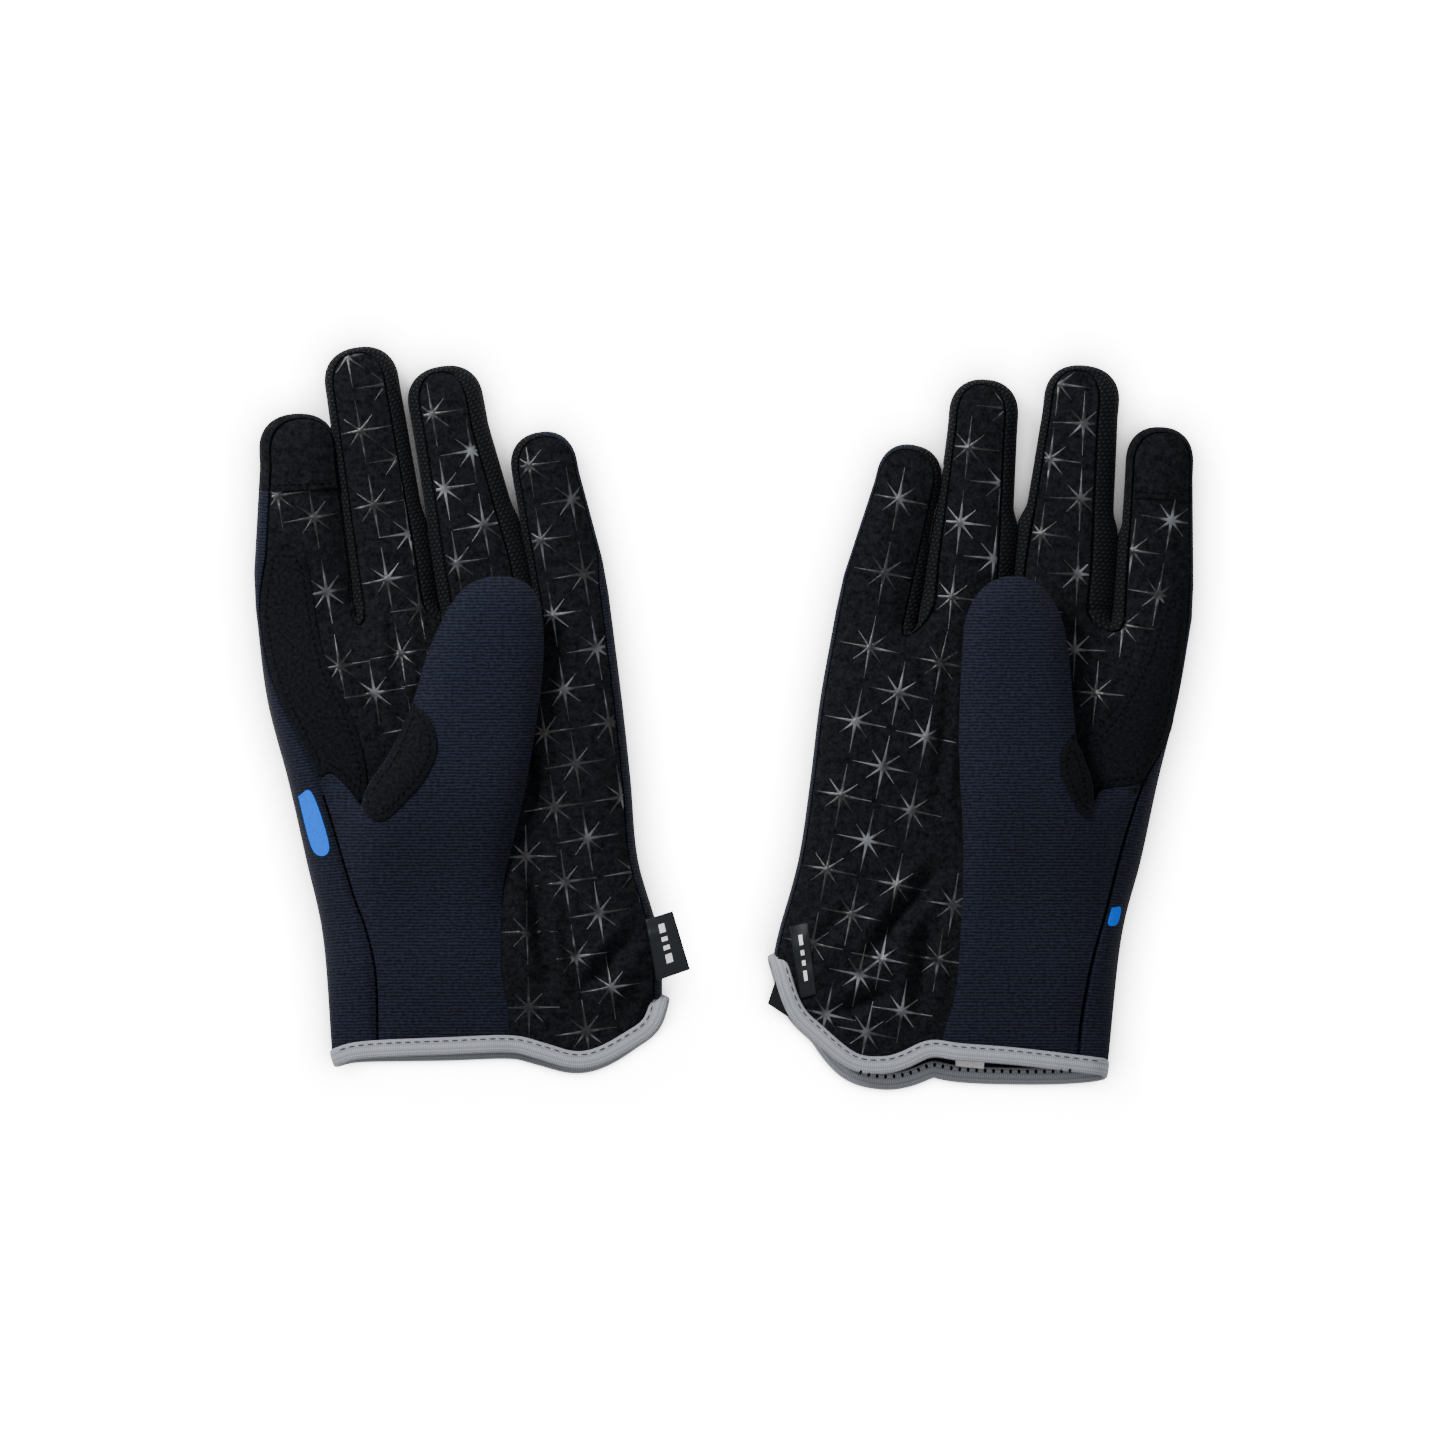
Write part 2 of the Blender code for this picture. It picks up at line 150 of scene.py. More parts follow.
# Hand outlines as (outer, along) points, from the cuff up.
THUMB_SIDE = {
    "left": ((130.0, -112.0), (133.0, -73.0), (138.6, -47.0), (144.5, -21.0), (151.5, 6.0)),
    "right": ((126.1, -114.0), (130.5, -73.0), (137.0, -47.0), (142.6, -21.0), (149.2, 6.0)),
}
LITTLE_SIDE = {
    "left": ((21.0, -93.0), (21.8, -73.0), (29.0, -47.0), (31.4, -21.0), (34.3, 6.0)),
    "right": ((15.3, -80.0), (17.5, -70.0), (23.8, -47.0), (27.7, -21.0), (31.0, 6.0)),
}
SEAM = {
    "left": ((114.5, -112.0), (115.2, -85.6), (118.5, -69.8), (122.8, -57.9), (134.3, -20.3),
             (141.9, -4.1), (146.9, 5.8), (151.1, 17.0), (154.0, 34.0)),
    "right": ((115.5, -114.0), (116.8, -99.8), (120.1, -81.7), (125.1, -63.5), (130.6, -42.0),
              (137.5, -21.5), (145.5, -7.8), (148.5, 3.5), (152.0, 28.9)),
}
LITTLE_INSET = {"left": 3.0, "right": 1.6}
CUFF = {
    "left": ((130.0, -112.5), (120.0, -109.8), (91.0, -108.4), (71.0, -107.8), (61.4, -110.0),
             (50.5, -113.0), (42.0, -111.8), (32.0, -106.5), (24.8, -101.0), (21.6, -91.6)),
    "right": ((126.1, -115.5), (97.0, -112.0), (77.0, -110.4), (67.5, -109.3), (59.0, -113.0),
              (52.2, -114.7), (42.0, -113.5), (30.5, -104.4), (22.5, -95.8), (16.6, -77.8)),
}

# Folds in the palm cloth: start and end as (outer, along), depth and width.
FOLDS = {
    "left": (((67.5, 2.0), (63.5, -33.0), 0.8, 2.0), ((64.5, -44.0), (58.5, -92.0), 2.4, 2.8),
             ((48.0, -92.0), (27.0, -68.0), 1.8, 2.6), ((57.0, -62.0), (47.0, -90.0), 1.2, 2.2),
             ((36.0, -100.0), (25.0, -84.0), 1.0, 2.2), ((128.0, 30.0), (112.0, -8.0), 0.9, 2.6),
             ((112.0, 38.0), (106.0, 6.0), 1.1, 2.4)),
    "right": (((72.0, -48.0), (45.0, -82.0), 2.2, 2.8), ((67.0, -62.0), (63.0, -102.0), 1.8, 2.6),
              ((55.0, -90.0), (33.0, -100.0), 1.4, 2.6), ((41.0, -62.0), (24.0, -84.0), 1.1, 2.4),
              ((73.0, 20.0), (70.0, -36.0), 0.8, 2.0), ((124.0, 16.0), (118.0, -4.0), 0.8, 2.2),
              ((62.0, 28.0), (69.0, 2.0), 0.8, 2.2)),
}


def smoothstep(start, end, value):
    share = np.clip((value - start) / (end - start), 0.0, 1.0)
    return share * share * (3 - 2 * share)


def mix(first, second, share):
    return first * (1 - share) + second * share


def unit(vectors, least=1e-9):
    return vectors / np.maximum(np.linalg.norm(vectors, axis=-1, keepdims=True), least)


def superellipse(wave, power):
    """A sine or cosine made squarer, with its sign kept."""
    return np.sign(wave) * np.abs(wave) ** power


def travelled(points):
    """The distance along a line of points, up to each of them."""
    steps = np.linalg.norm(np.diff(points, axis=0), axis=1)
    return np.concatenate(((0.0,), np.cumsum(steps)))


def curve(points, count):
    """Evenly spaced points on a smooth curve through a few points."""
    points = np.asarray(points, float)
    ends = 2 * points[:1] - points[1:2], 2 * points[-1:] - points[-2:-1]
    knots = np.concatenate((ends[0], points, ends[1]))
    t = np.linspace(0, 1, 24, endpoint=False)[:, None]
    fine = []
    for a, b, c, d in zip(knots, knots[1:], knots[2:], knots[3:]):
        square = a - 2.5 * b + 2 * c - d / 2
        cube = 1.5 * (b - c) + (d - a) / 2
        fine.append(b + (c - a) * t / 2 + square * t**2 + cube * t**3)
    fine = np.concatenate(fine + [points[-1:]])
    length = travelled(fine)
    at = np.linspace(0, length[-1], count)
    return np.stack([np.interp(at, length, fine[:, axis]) for axis in range(fine.shape[1])], axis=1)


def closed_curve(points, count):
    return curve((*points, points[0]), count)[:-1]


def inside(polygon, points):
    """Which points lie inside a closed outline."""
    result = np.zeros(len(points), bool)
    for (x0, y0), (x1, y1) in zip(polygon, np.roll(polygon, -1, axis=0)):
        crosses = (y0 > points[:, 1]) != (y1 > points[:, 1])
        if y0 != y1:
            at = (x1 - x0) * (points[:, 1] - y0) / (y1 - y0) + x0
            result ^= crosses & (points[:, 0] < at)
    return result


def nearest(outline, points):
    """Distance from each point to the closest point of an outline, and that point's place in the list."""
    distance, index = [], []
    for start in range(0, len(points), 2000):
        gaps = np.linalg.norm(points[start:start + 2000, None, :2] - outline[None, :, :2], axis=2)
        index.append(gaps.argmin(axis=1))
        distance.append(gaps.min(axis=1))
    return np.concatenate(distance), np.concatenate(index)


def face_up(points, faces):
    """Turns over the triangles that run clockwise when seen from above."""
    a, b, c = (points[faces[:, corner], :2] for corner in range(3))
    turned = (b[:, 0] - a[:, 0]) * (c[:, 1] - a[:, 1]) < (b[:, 1] - a[:, 1]) * (c[:, 0] - a[:, 0])
    faces[turned] = faces[turned][:, ::-1]


class Sheet:
    """A triangle surface in millimetres, with a place on the cloth for every point."""

    def __init__(self, points, faces, texture=None):
        self.points = np.asarray(points, float)
        self.faces = np.asarray(faces, int)
        self.texture = self.points[:, :2].copy() if texture is None else np.asarray(texture, float)

    def face_normals(self):
        corners = self.points[self.faces]
        return np.cross(corners[:, 1] - corners[:, 0], corners[:, 2] - corners[:, 0])

    def normals(self):
        face = self.face_normals()
        total = np.zeros_like(self.points)
        for corner in range(3):
            np.add.at(total, self.faces[:, corner], face)
        return unit(total)

    def tree(self):
        return BVHTree.FromPolygons(self.points.tolist(), self.faces.tolist())

    def centres(self):
        return self.points[self.faces].mean(axis=1)

    def turned_over(self):
        return Sheet(self.points, self.faces[:, ::-1], self.texture)

    def facing_up(self, at):
        """This sheet, turned over if it faces down at this point."""
        return self.turned_over() if self.normals()[at, 2] < 0 else self


def join(*sheets):
    starts = np.cumsum([0] + [len(sheet.points) for sheet in sheets])
    return Sheet(
        np.concatenate([sheet.points for sheet in sheets]),
        np.concatenate([sheet.faces + start for sheet, start in zip(sheets, starts)]),
        np.concatenate([sheet.texture for sheet in sheets]),
    )


def grid_sheet(rows, closed=False):
    """Triangles over rows of equally many points, with the cloth's own lengths as its texture place."""
    rows = np.asarray(rows, float)
    count, width = rows.shape[:2]
    quads = []
    for row in range(count - 1):
        for column in range(width if closed else width - 1):
            after = (column + 1) % width
            here, beyond = row * width, (row + 1) * width
            quads.append((here + column, here + after, beyond + after))
            quads.append((here + column, beyond + after, beyond + column))
    along = travelled(rows.mean(axis=0))
    drops = np.linalg.norm(np.diff(rows, axis=0), axis=2).mean(axis=1)
    down = np.concatenate(((0,), np.cumsum(drops)))
    texture = np.stack(np.meshgrid(along, down), axis=2).reshape(-1, 2)
    return Sheet(rows.reshape(-1, 3), quads, texture)


def membrane(outline, spacing, target, reach):
    """A pillow surface: its rim is the outline, and it swells towards target(points) within `reach`.

    The outline's points come first in the sheet, in their own order.
    """
    rim = len(outline)
    low, high = outline[:, :2].min(axis=0), outline[:, :2].max(axis=0)
    xs = np.arange(low[0], high[0], spacing)
    ys = np.arange(low[1], high[1], spacing * 0.866)
    x, y = np.meshgrid(xs, ys)
    x[1::2] += spacing / 2
    lattice = np.stack((x.ravel(), y.ravel()), axis=1)
    lattice = lattice[inside(outline[:, :2], lattice)]
    lattice = lattice[nearest(outline, lattice)[0] > spacing * 0.62]
    plan = np.concatenate((outline[:, :2], lattice))
    result = delaunay_2d_cdt([Vector(p) for p in plan], [], [list(range(rim))], 1, 1e-5)
    if len(result[0]) != len(plan):
        raise ValueError("an outline crosses itself")
    faces = np.array(result[2])
    points = np.concatenate((plan, np.zeros((len(plan), 1))), axis=1)
    face_up(points, faces)
    goal = target(points)
    points[:, 2] = goal
    points[:rim, 2] = outline[:, 2]
    stiffness = 4 * (reach / spacing) ** 2
    pairs = np.concatenate((faces[:, (0, 1)], faces[:, (1, 2)], faces[:, (2, 0)]))
    degree = np.maximum(np.bincount(pairs[:, 0], minlength=len(points)), 1)
    for _ in range(RELAX_STEPS):
        total = np.bincount(pairs[:, 0], weights=points[pairs[:, 1], 2], minlength=len(points))
        swollen = (goal + stiffness * total / degree) / (1 + stiffness)
        points[rim:, 2] = swollen[rim:]
    return Sheet(points, faces)


class Hinge:
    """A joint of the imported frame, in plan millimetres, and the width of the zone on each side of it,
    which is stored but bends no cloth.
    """

    def __init__(self, joint, zone):
        self.parent = joint["parent"]
        self.child = joint["child"]
        self.point = np.array(joint["pos_m"]) / MM
        self.across = np.array(joint["axis"][:2])
        self.heading = np.array((-joint["axis"][1], joint["axis"][0]))
        self.zone = zone

    def place(self, d, lateral):
        d, lateral = np.broadcast_arrays(np.asarray(d, float), np.asarray(lateral, float))
        return self.point[:2] + d[..., None] * self.heading + lateral[..., None] * self.across

    def locate(self, points):
        gap = np.asarray(points)[..., :2] - self.point[:2]
        return gap @ self.heading, gap @ self.across

    def blend(self, piece, heading=None):
        """Bakes a piece's place into its mesh; it does not bend the piece over this joint, and the heading
        is not used.
        """
        heading = self.heading if heading is None else heading
        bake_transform(piece)


class Finger:
    """One finger's outline in its own frame."""

    def __init__(self, side, name, joints):
        self.name = name
        self.shape = SHAPES[f"{side}_{name}"]
        root, tip = joints[f"{side}_{name}_root_bend"], joints[f"{side}_{name}_tip_bend"]
        tip_at = np.linalg.norm(np.subtract(tip["pos_m"], root["pos_m"])[:2]) / MM
        self.middle = tip_at / 2
        zone = min(BEND_ZONE, self.middle - 0.6)
        self.root = Hinge(root, zone)
        self.tip = Hinge(tip, zone)
        self.outer_hand = 0
        self.hand_inset = 0.0

    def centre(self, d):
        return np.interp(d, (0.0, self.shape.taper), self.shape.centre)

    def half(self, d):
        return np.interp(d, (0.0, self.shape.taper), self.shape.half)

    def wall(self, d, hand):
        """Width of the side wall that shows from the palm side."""
        own = self.shape.walls[0 if hand < 0 else 1]
        if hand != self.outer_hand:
            return np.full(np.shape(d), own)
        return mix(self.hand_inset, own, smoothstep(SPLIT, 6.0, d))

    def outline(self, inset, tip_inset):
        """Places and d, up the -X side, round the tip and down the +X side; inset(d, hand) narrows it."""
        round_length = TIP_ROUND - tip_inset / 2
        tip_start = self.shape.length - tip_inset - round_length
        up = np.linspace(SPLIT, tip_start, SIDE_STEPS)
        left = self.centre(up) - self.half(up) + inset(up, -1)
        right = self.centre(up) + self.half(up) - inset(up, 1)
        turn = np.linspace(pi, 0.0, TIP_STEPS + 2)[1:-1]
        tip_d = tip_start + round_length * np.sin(turn) ** TIP_POWER
        tip_middle = (left[-1] + right[-1]) / 2
        tip_half = (right[-1] - left[-1]) / 2
        tip_lateral = tip_middle + tip_half * superellipse(np.cos(turn), TIP_POWER)
        d = np.concatenate((up, tip_d, up[::-1]))
        lateral = np.concatenate((left, tip_lateral, right[::-1]))
        return self.root.place(d, lateral), d


def front_top(points):
    """How high the stuffed palm side stands, by its distance from the fingers and the cuff."""
    along = points[:, 1] - ALONG_SHIFT
    palm = (PALM_TOP - FINGER_TOP) * smoothstep(38.0, 8.0, along)
    cuff = (PALM_TOP - CUFF_TOP) * smoothstep(-78.0, -108.0, along)
    return FINGER_TOP + palm - cuff


def rim_height(inset, top):
    """Height of a seam that lies this far inside the silhouette of the stuffed shape."""
    return EDGE_HEIGHT + (top - EDGE_HEIGHT) * (1 - np.exp(-(inset + 1.2) / 4.5))


def ripple(points, scale, seed, stretch=1.0):
    """Smooth noise from -1 to 1, one value per point."""
    return np.array([noise.noise((x / scale, y / (scale * stretch), seed)) for x, y in points[:, :2]])


def pucker(points, rim, seed, height, pitch, fade):
    """Small waves of the cloth beside its rim, and each point's distance from the rim."""
    distance, index = nearest(points[:rim], points)
    arc = travelled(points[:rim, :2])[index]
    waves = height * np.sin(2 * pi * arc / pitch + 4.0 * ripple(points, 14.0, seed))
    return waves * np.exp(-distance / fade) * (1 - np.exp(-distance)), distance


class Glove:
    """One glove: its outlines, its cloth surfaces, and which part each bit of cloth belongs to; only the
    hand's part is attached to a body.
    """

    def __init__(self, side, joints):
        self.name = side
        self.side = SIDES[side]
        self.fingers = [Finger(side, name, joints) for name in ORDER[side]]
        self.index = next(finger for finger in self.fingers if finger.name == "index")
        self.thumb_root = Hinge(joints[f"{side}_thumb_lift"], THUMB_ZONE)
        self.thumb_tip = Hinge(joints[f"{side}_thumb_tip_bend"], THUMB_ZONE)
        self.thumb_hand = self.side
        first, last = self.fingers[0], self.fingers[-1]
        first.outer_hand, last.outer_hand = -1, 1
        self.index.hand_inset = 1.5
        little = last if first is self.index else first
        little.hand_inset = LITTLE_INSET[side]
        self.build_loops()

    def world(self, points):
        points = np.asarray(points, float)
        return np.stack((self.side * points[:, 0] + MIDDLE_X, points[:, 1] + ALONG_SHIFT), axis=1)

    def plan(self, points):
        return self.side * (points[:, 0] - MIDDLE_X), points[:, 1] - ALONG_SHIFT

    # Outlines

    def meeting(self, finger, other, points, d):
        """The line on which two neighbouring fingers touch, near their roots."""
        hand = 1 if self.fingers.index(other) > self.fingers.index(finger) else -1
        other_d, _ = other.root.locate(points)
        facing = other.root.place(other_d, other.centre(other_d) - hand * other.half(other_d))
        middle = (points + facing) / 2
        gap = hand * (facing - points) @ finger.root.across
        touching = np.maximum(smoothstep(JOIN_END + 5, JOIN_END - 3, d), (gap < 0.5) & (d < 32.0))
        nudge = 0.3 * hand * finger.root.across * (touching * smoothstep(30.0, 18.0, d))[:, None]
        return mix(points, middle + nudge, touching[:, None])

    def finger_loops(self, number):
        """Seam, silhouette and back edge of one finger, with the distance d of every column."""
        finger = self.fingers[number]
        seam, d = finger.outline(finger.wall, TIP_INSET)
        silhouette, silhouette_d = finger.outline(lambda d, hand: 0.0, 0.0)
        back, _ = finger.outline(lambda d, hand: BACK_INSET, TIP_INSET)
        half = SIDE_STEPS
        if number > 0:
            left = self.meeting(finger, self.fingers[number - 1], silhouette[:half], silhouette_d[:half])
            silhouette[:half] = left
        if number < len(self.fingers) - 1:
            right = self.meeting(finger, self.fingers[number + 1], silhouette[-half:], silhouette_d[-half:])
            silhouette[-half:] = right
        inset = np.concatenate((
            finger.wall(d[:half], -1),
            np.full(TIP_STEPS, TIP_INSET),
            finger.wall(d[-half:], 1),
        ))
        ease = np.linspace(0, 1, TIP_EASE + 2)[1:-1]
        inset[half:half + TIP_EASE] = mix(inset[half - 1], TIP_INSET, ease)
        inset[-half - TIP_EASE:-half] = mix(TIP_INSET, inset[-half], ease)
        return seam, silhouette, back, rim_height(inset, front_top(seam)), d

    def valley(self, start, end, depth, heading):
        """A U between two fingers."""
        turn = np.linspace(0.0, pi, VALLEY_STEPS + 2)[1:-1, None]
        across = (start - end) / 2 * superellipse(np.cos(turn), VALLEY_POWER)
        return (start + end) / 2 + across - heading * depth * np.sin(turn) ** VALLEY_POWER

    def hand_edge(self, hand, finger_points):
        """Seam, silhouette and back edge of the hand from the cuff up to a finger."""
        thumb = hand == self.thumb_hand
        outline = self.world((THUMB_SIDE if thumb else LITTLE_SIDE)[self.name])
        seam_end, silhouette_end, back_end = finger_points
        silhouette = curve(np.concatenate((outline, [silhouette_end])), HAND_STEPS)
        inward = np.array((-hand, 0.0))
        ease = np.linspace(0, 1, HAND_STEPS)[:, None] ** 3
        if thumb:
            seam = curve(np.concatenate((self.world(SEAM[self.name]), [seam_end])), HAND_STEPS)
        else:
            seam = silhouette + inward * LITTLE_INSET[self.name]
            seam += (seam_end - seam[-1]) * ease
        back = silhouette + inward * BACK_INSET
        back += (back_end - back[-1]) * ease
        level = np.abs(np.interp(seam[:, 1], silhouette[:, 1], silhouette[:, 0]) - seam[:, 0])
        inset = np.minimum(np.linalg.norm(seam - silhouette, axis=1), level)
        return seam, silhouette, back, rim_height(inset, front_top(seam))

    def between(self, number, loop, after):
        """The U from one finger's loop to the next one's, as seam, silhouette, back edge and heights."""
        heading = unit(self.fingers[number].root.heading + self.fingers[number + 1].root.heading)
        lines = [
            self.valley(line[-1], next_line[0], depth, heading)
            for line, next_line, depth in zip(loop, after, VALLEY_DEPTHS)
        ]
        return *lines, rim_height(np.full(VALLEY_STEPS, VALLEY_INSET), front_top(lines[0]))

    def build_loops(self):
        """The seam, silhouette and back edge from the -X end of the cuff, round the fingers, to its +X end.

        Every column also has the number of its finger, or -1, and its distance d along that finger.
        """
        runs = []

        def add(lines, owner=-1, d=OFF_FINGER):
            count = len(lines[0])
            runs.append((*lines, np.full(count, owner), np.broadcast_to(d, count)))

        loops = [self.finger_loops(number) for number in range(len(self.fingers))]
        edge = self.hand_edge(-1, [line[0] for line in loops[0][:3]])
        add([part[:-1] for part in edge])
        for number, loop in enumerate(loops):
            add(loop[:4], number, loop[4])
            if number < len(loops) - 1:
                add(self.between(number, loop, loops[number + 1]))
        edge = self.hand_edge(1, [line[-1] for line in loops[-1][:3]])
        add([part[:-1][::-1] for part in edge])
        seam, silhouette, back, height, self.owner, self.reach = map(np.concatenate, zip(*runs))
        self.seam = np.column_stack((seam, height))
        self.silhouette = np.column_stack((silhouette, np.full(len(seam), EDGE_HEIGHT)))
        self.back_edge = np.column_stack((back, np.full(len(seam), BACK_EDGE_HEIGHT)))

    def cuff_edge(self, loop):
        """Cuff edge from the +X end of a loop back to its -X end, without those two ends."""
        points = self.world(CUFF[self.name])
        if self.side < 0:
            points = points[::-1]
        low, high = sorted((loop[0, 0], loop[-1, 0]))
        kept = points[(points[:, 0] > low + 4) & (points[:, 0] < high - 4)]
        if kept[0, 0] < kept[-1, 0]:
            kept = kept[::-1]
        ends = loop[-1:, :2], loop[:1, :2]
        return curve(np.concatenate((ends[0], kept, ends[1])), CUFF_STEPS)[1:-1]

    def cuff_height(self, points):
        """Front height of the cuff's mouth."""
        thumb = np.interp(points[:, 1], *self.edge_line(self.thumb_hand))
        little = np.interp(points[:, 1], *self.edge_line(-self.thumb_hand))
        inset = np.minimum(np.abs(points[:, 0] - thumb), np.abs(points[:, 0] - little))
        return rim_height(inset, np.full(len(points), CUFF_TOP))

    def back_drop(self, points):
        """How far the cuff's back edge hangs below its front edge."""
        outer, _ = self.plan(points)
        return BACK_DROP[self.name] * np.sin(pi * np.clip((127.0 - outer) / 96.0, 0.0, 1.0)) ** 0.7

    def edge_line(self, hand):
        edge = self.silhouette[:60] if hand < 0 else self.silhouette[-60:][::-1]
        order = np.argsort(edge[:, 1])
        return edge[order, 1], edge[order, 0]

    # Shell

    def front_sheet(self):
        cuff = self.cuff_edge(self.seam)
        cuff = np.column_stack((cuff, self.cuff_height(cuff)))
        outline = np.concatenate((self.seam, cuff))
        sheet = membrane(outline, FRONT_SPACING, front_top, 5.5)
        self.crumple(sheet.points, len(outline))
        return sheet

    def crumple(self, points, rim):
        """Puckers along the seams, soft dents over the palm and creases where the fingers bend."""
        seed = 3.0 + self.side
        waves, distance = pucker(points, rim, seed, height=0.3, pitch=5.2, fade=4.5)
        inner = 1 - np.exp(-distance / 5.0)
        dents = 0.9 * ripple(points, 34.0, seed + 1.0, 1.6) + 0.28 * ripple(points, 9.0, seed + 2.0, 0.7)
        points[:, 2] += waves + dents * inner
        for start, end, depth, width in FOLDS[self.name]:
            start, end = self.world((start, end))
            run = end - start
            across = unit(np.array((-run[1], run[0])))
            share = (points[:, :2] - start) @ run / (run @ run)
            away = (points[:, :2] - start) @ across + 1.5 * ripple(points, 16.0, seed + 7.0)
            strength = FOLD_STRENGTH * depth * np.sin(pi * np.clip(share, 0, 1)) ** 0.7 * inner
            ridges = np.exp(-((np.abs(away) - 2.1 * width) / width) ** 2)
            points[:, 2] += strength * (0.45 * ridges - np.exp(-(away / width) ** 2))
        for finger in self.fingers:
            for hinge, depth in ((finger.root, 0.5), (finger.tip, 0.6)):
                d, lateral = hinge.locate(points)
                bend = d + 1.2 * ripple(points, 7.0, seed + 5.0)
                near = np.abs(lateral) < finger.half(d) + 3
                points[:, 2] -= depth * np.exp(-(bend / 1.6) ** 2) * inner * near

    def back_sheet(self):
        cuff = self.cuff_edge(self.back_edge)
        cuff = cuff - np.column_stack((np.zeros(len(cuff)), self.back_drop(cuff)))
        cuff = np.column_stack((cuff, np.full(len(cuff), BACK_CUFF_HEIGHT)))
        outline = np.concatenate((self.back_edge, cuff))
        return membrane(outline, BACK_SPACING, lambda points: TABLE_GAP, 2.0).turned_over()

    def flank_sheet(self):
        """The side of the glove from the seam groove, round the widest line, to the back edge."""
        groove = self.seam - np.array((0.0, 0.0, GROOVE_DEPTH))
        groove[:, :2] += GROOVE_TUCK * unit(self.seam[:, :2] - self.silhouette[:, :2], 0.5)
        rows = [self.seam, groove]
        shoulder = self.seam - np.array((0.0, 0.0, SHOULDER_DROP))
        for angle in FLANK_ANGLES:
            rim = shoulder if angle <= pi / 2 else self.back_edge
            row = mix(rim, self.silhouette, sin(angle))
            row[:, 2] = EDGE_HEIGHT + np.abs(rim[:, 2] - EDGE_HEIGHT) * cos(angle)
            rows.append(row)
        sheet = grid_sheet(rows)
        steps = np.linalg.norm(np.diff(rows, axis=0), axis=2)
        down = np.concatenate((np.zeros((1, len(self.seam))), np.cumsum(steps, axis=0)))
        sheet.texture[:, 1] = down.ravel()
        return sheet

    # Bodies

    def parts(self, sheet):
        """The part of the glove each triangle belongs to: 0 the hand, then two parts for every finger."""
        centres = sheet.centres()
        label = np.zeros(len(centres), int)
        best = np.full(len(centres), 1.4)
        for number, finger in enumerate(self.fingers):
            d, lateral = finger.root.locate(centres)
            off = np.abs(lateral - finger.centre(d)) / finger.half(d)
            mine = (d > SPLIT) & (off < best)
            label[mine] = 1 + 2 * number + (d[mine] > finger.middle)
            best[mine] = off[mine]
        return label

    def flank_parts(self, sheet):
        columns = len(self.seam)
        column = (sheet.faces % columns).min(axis=1)
        owner = self.owner[column]
        label = np.zeros(len(column), int)
        for number, finger in enumerate(self.fingers):
            mine = owner == number
            label[mine] = 1 + 2 * number + (self.reach[column[mine]] > finger.middle)
        return label

    def attach(self, piece, part):
        if part == 0:
            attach(piece, f"{self.name}_hand")
            return
        finger = self.fingers[(part - 1) // 2]
        hinge = finger.root if part % 2 else finger.tip
        hinge.blend(piece)

    def part_name(self, part):
        if part == 0:
            return "hand"
        return self.fingers[(part - 1) // 2].name + ("_base" if part % 2 else "_tip")


# Folded thumb and heel: outlines as (outer, along) points, from the cuff up the palm side and back down.
THUMB_OUTLINE = {
    "left": ((71.5, -109.5), (71.9, -96.9), (73.9, -85.6), (74.3, -73.4), (73.4, -55.0), (70.6, -42.4),
             (66.3, -23.9), (61.6, 5.0), (60.1, 24.0), (61.6, 38.1), (66.5, 44.6), (75.2, 46.7),
             (85.0, 43.8), (91.6, 36.0), (98.7, 20.6), (103.3, 5.1), (110.9, -11.4), (118.0, -22.0),
             (120.6, -29.0)),
    "right": ((70.5, -111.0), (72.6, -102.0), (75.8, -90.0), (77.5, -70.0), (78.3, -42.4),
              (77.2, -20.0), (76.9, -2.0), (77.8, 18.0), (79.2, 33.0), (85.0, 43.0), (94.0, 46.7),
              (103.0, 44.2), (109.6, 35.5), (113.0, 22.0), (115.4, -5.0), (117.5, -11.4), (120.6, -20.0),
              (121.6, -28.0)),
}
HEEL_TOP = {
    "left": ((120.6, -29.0), (124.4, -23.9), (130.4, -18.4), (134.2, -20.5)),
    "right": ((121.6, -28.0), (123.5, -24.4), (129.5, -23.0), (137.2, -21.8)),
}
CROTCH_PATCH = {
    "left": ((103.4, 5.0), (98.7, 0.8), (95.7, -6.4), (96.0, -12.7), (99.7, -20.3), (105.9, -27.6),
             (113.0, -33.8), (117.6, -33.0), (120.2, -28.6), (117.6, -22.0), (110.6, -11.6)),
    "right": ((115.2, -5.6), (111.5, -10.4), (110.2, -15.3), (111.5, -21.3), (115.0, -28.4), (119.2, -33.6),
              (121.2, -30.0), (120.3, -20.6), (117.3, -11.6)),
}
SIDE_PATCH = {
    "left": ((141.9, 55.3), (138.3, 50.3), (136.3, 39.1), (134.3, 26.9), (130.7, 14.4), (124.4, 2.1),
             (120.6, -9.0), (118.6, -20.0), (119.4, -26.5)),
    "right": ((148.5, 46.4), (144.9, 39.1), (141.2, 29.2), (137.3, 18.3), (130.0, 4.5), (122.4, -4.8),
              (116.6, -8.0), (118.6, -20.0), (122.4, -25.0)),
}
SIDE_PATCH_TOP = {"left": 55.9, "right": 46.4}
CAP_START = 26.5
CAP_STEPS = 20
THUMB_TILT = radians(36.0)


def drape(tree, points):
    """Height of a surface under each plan point, or at its nearest edge."""
    heights = []
    for x, y in points[:, :2]:
        place = tree.ray_cast(Vector((x, y, ABOVE_ALL)), DOWN)[0]
        if place is None:
            place = tree.find_nearest(Vector((x, y, FALLBACK_HEIGHT)))[0]
        heights.append(place.z)
    return np.array(heights)


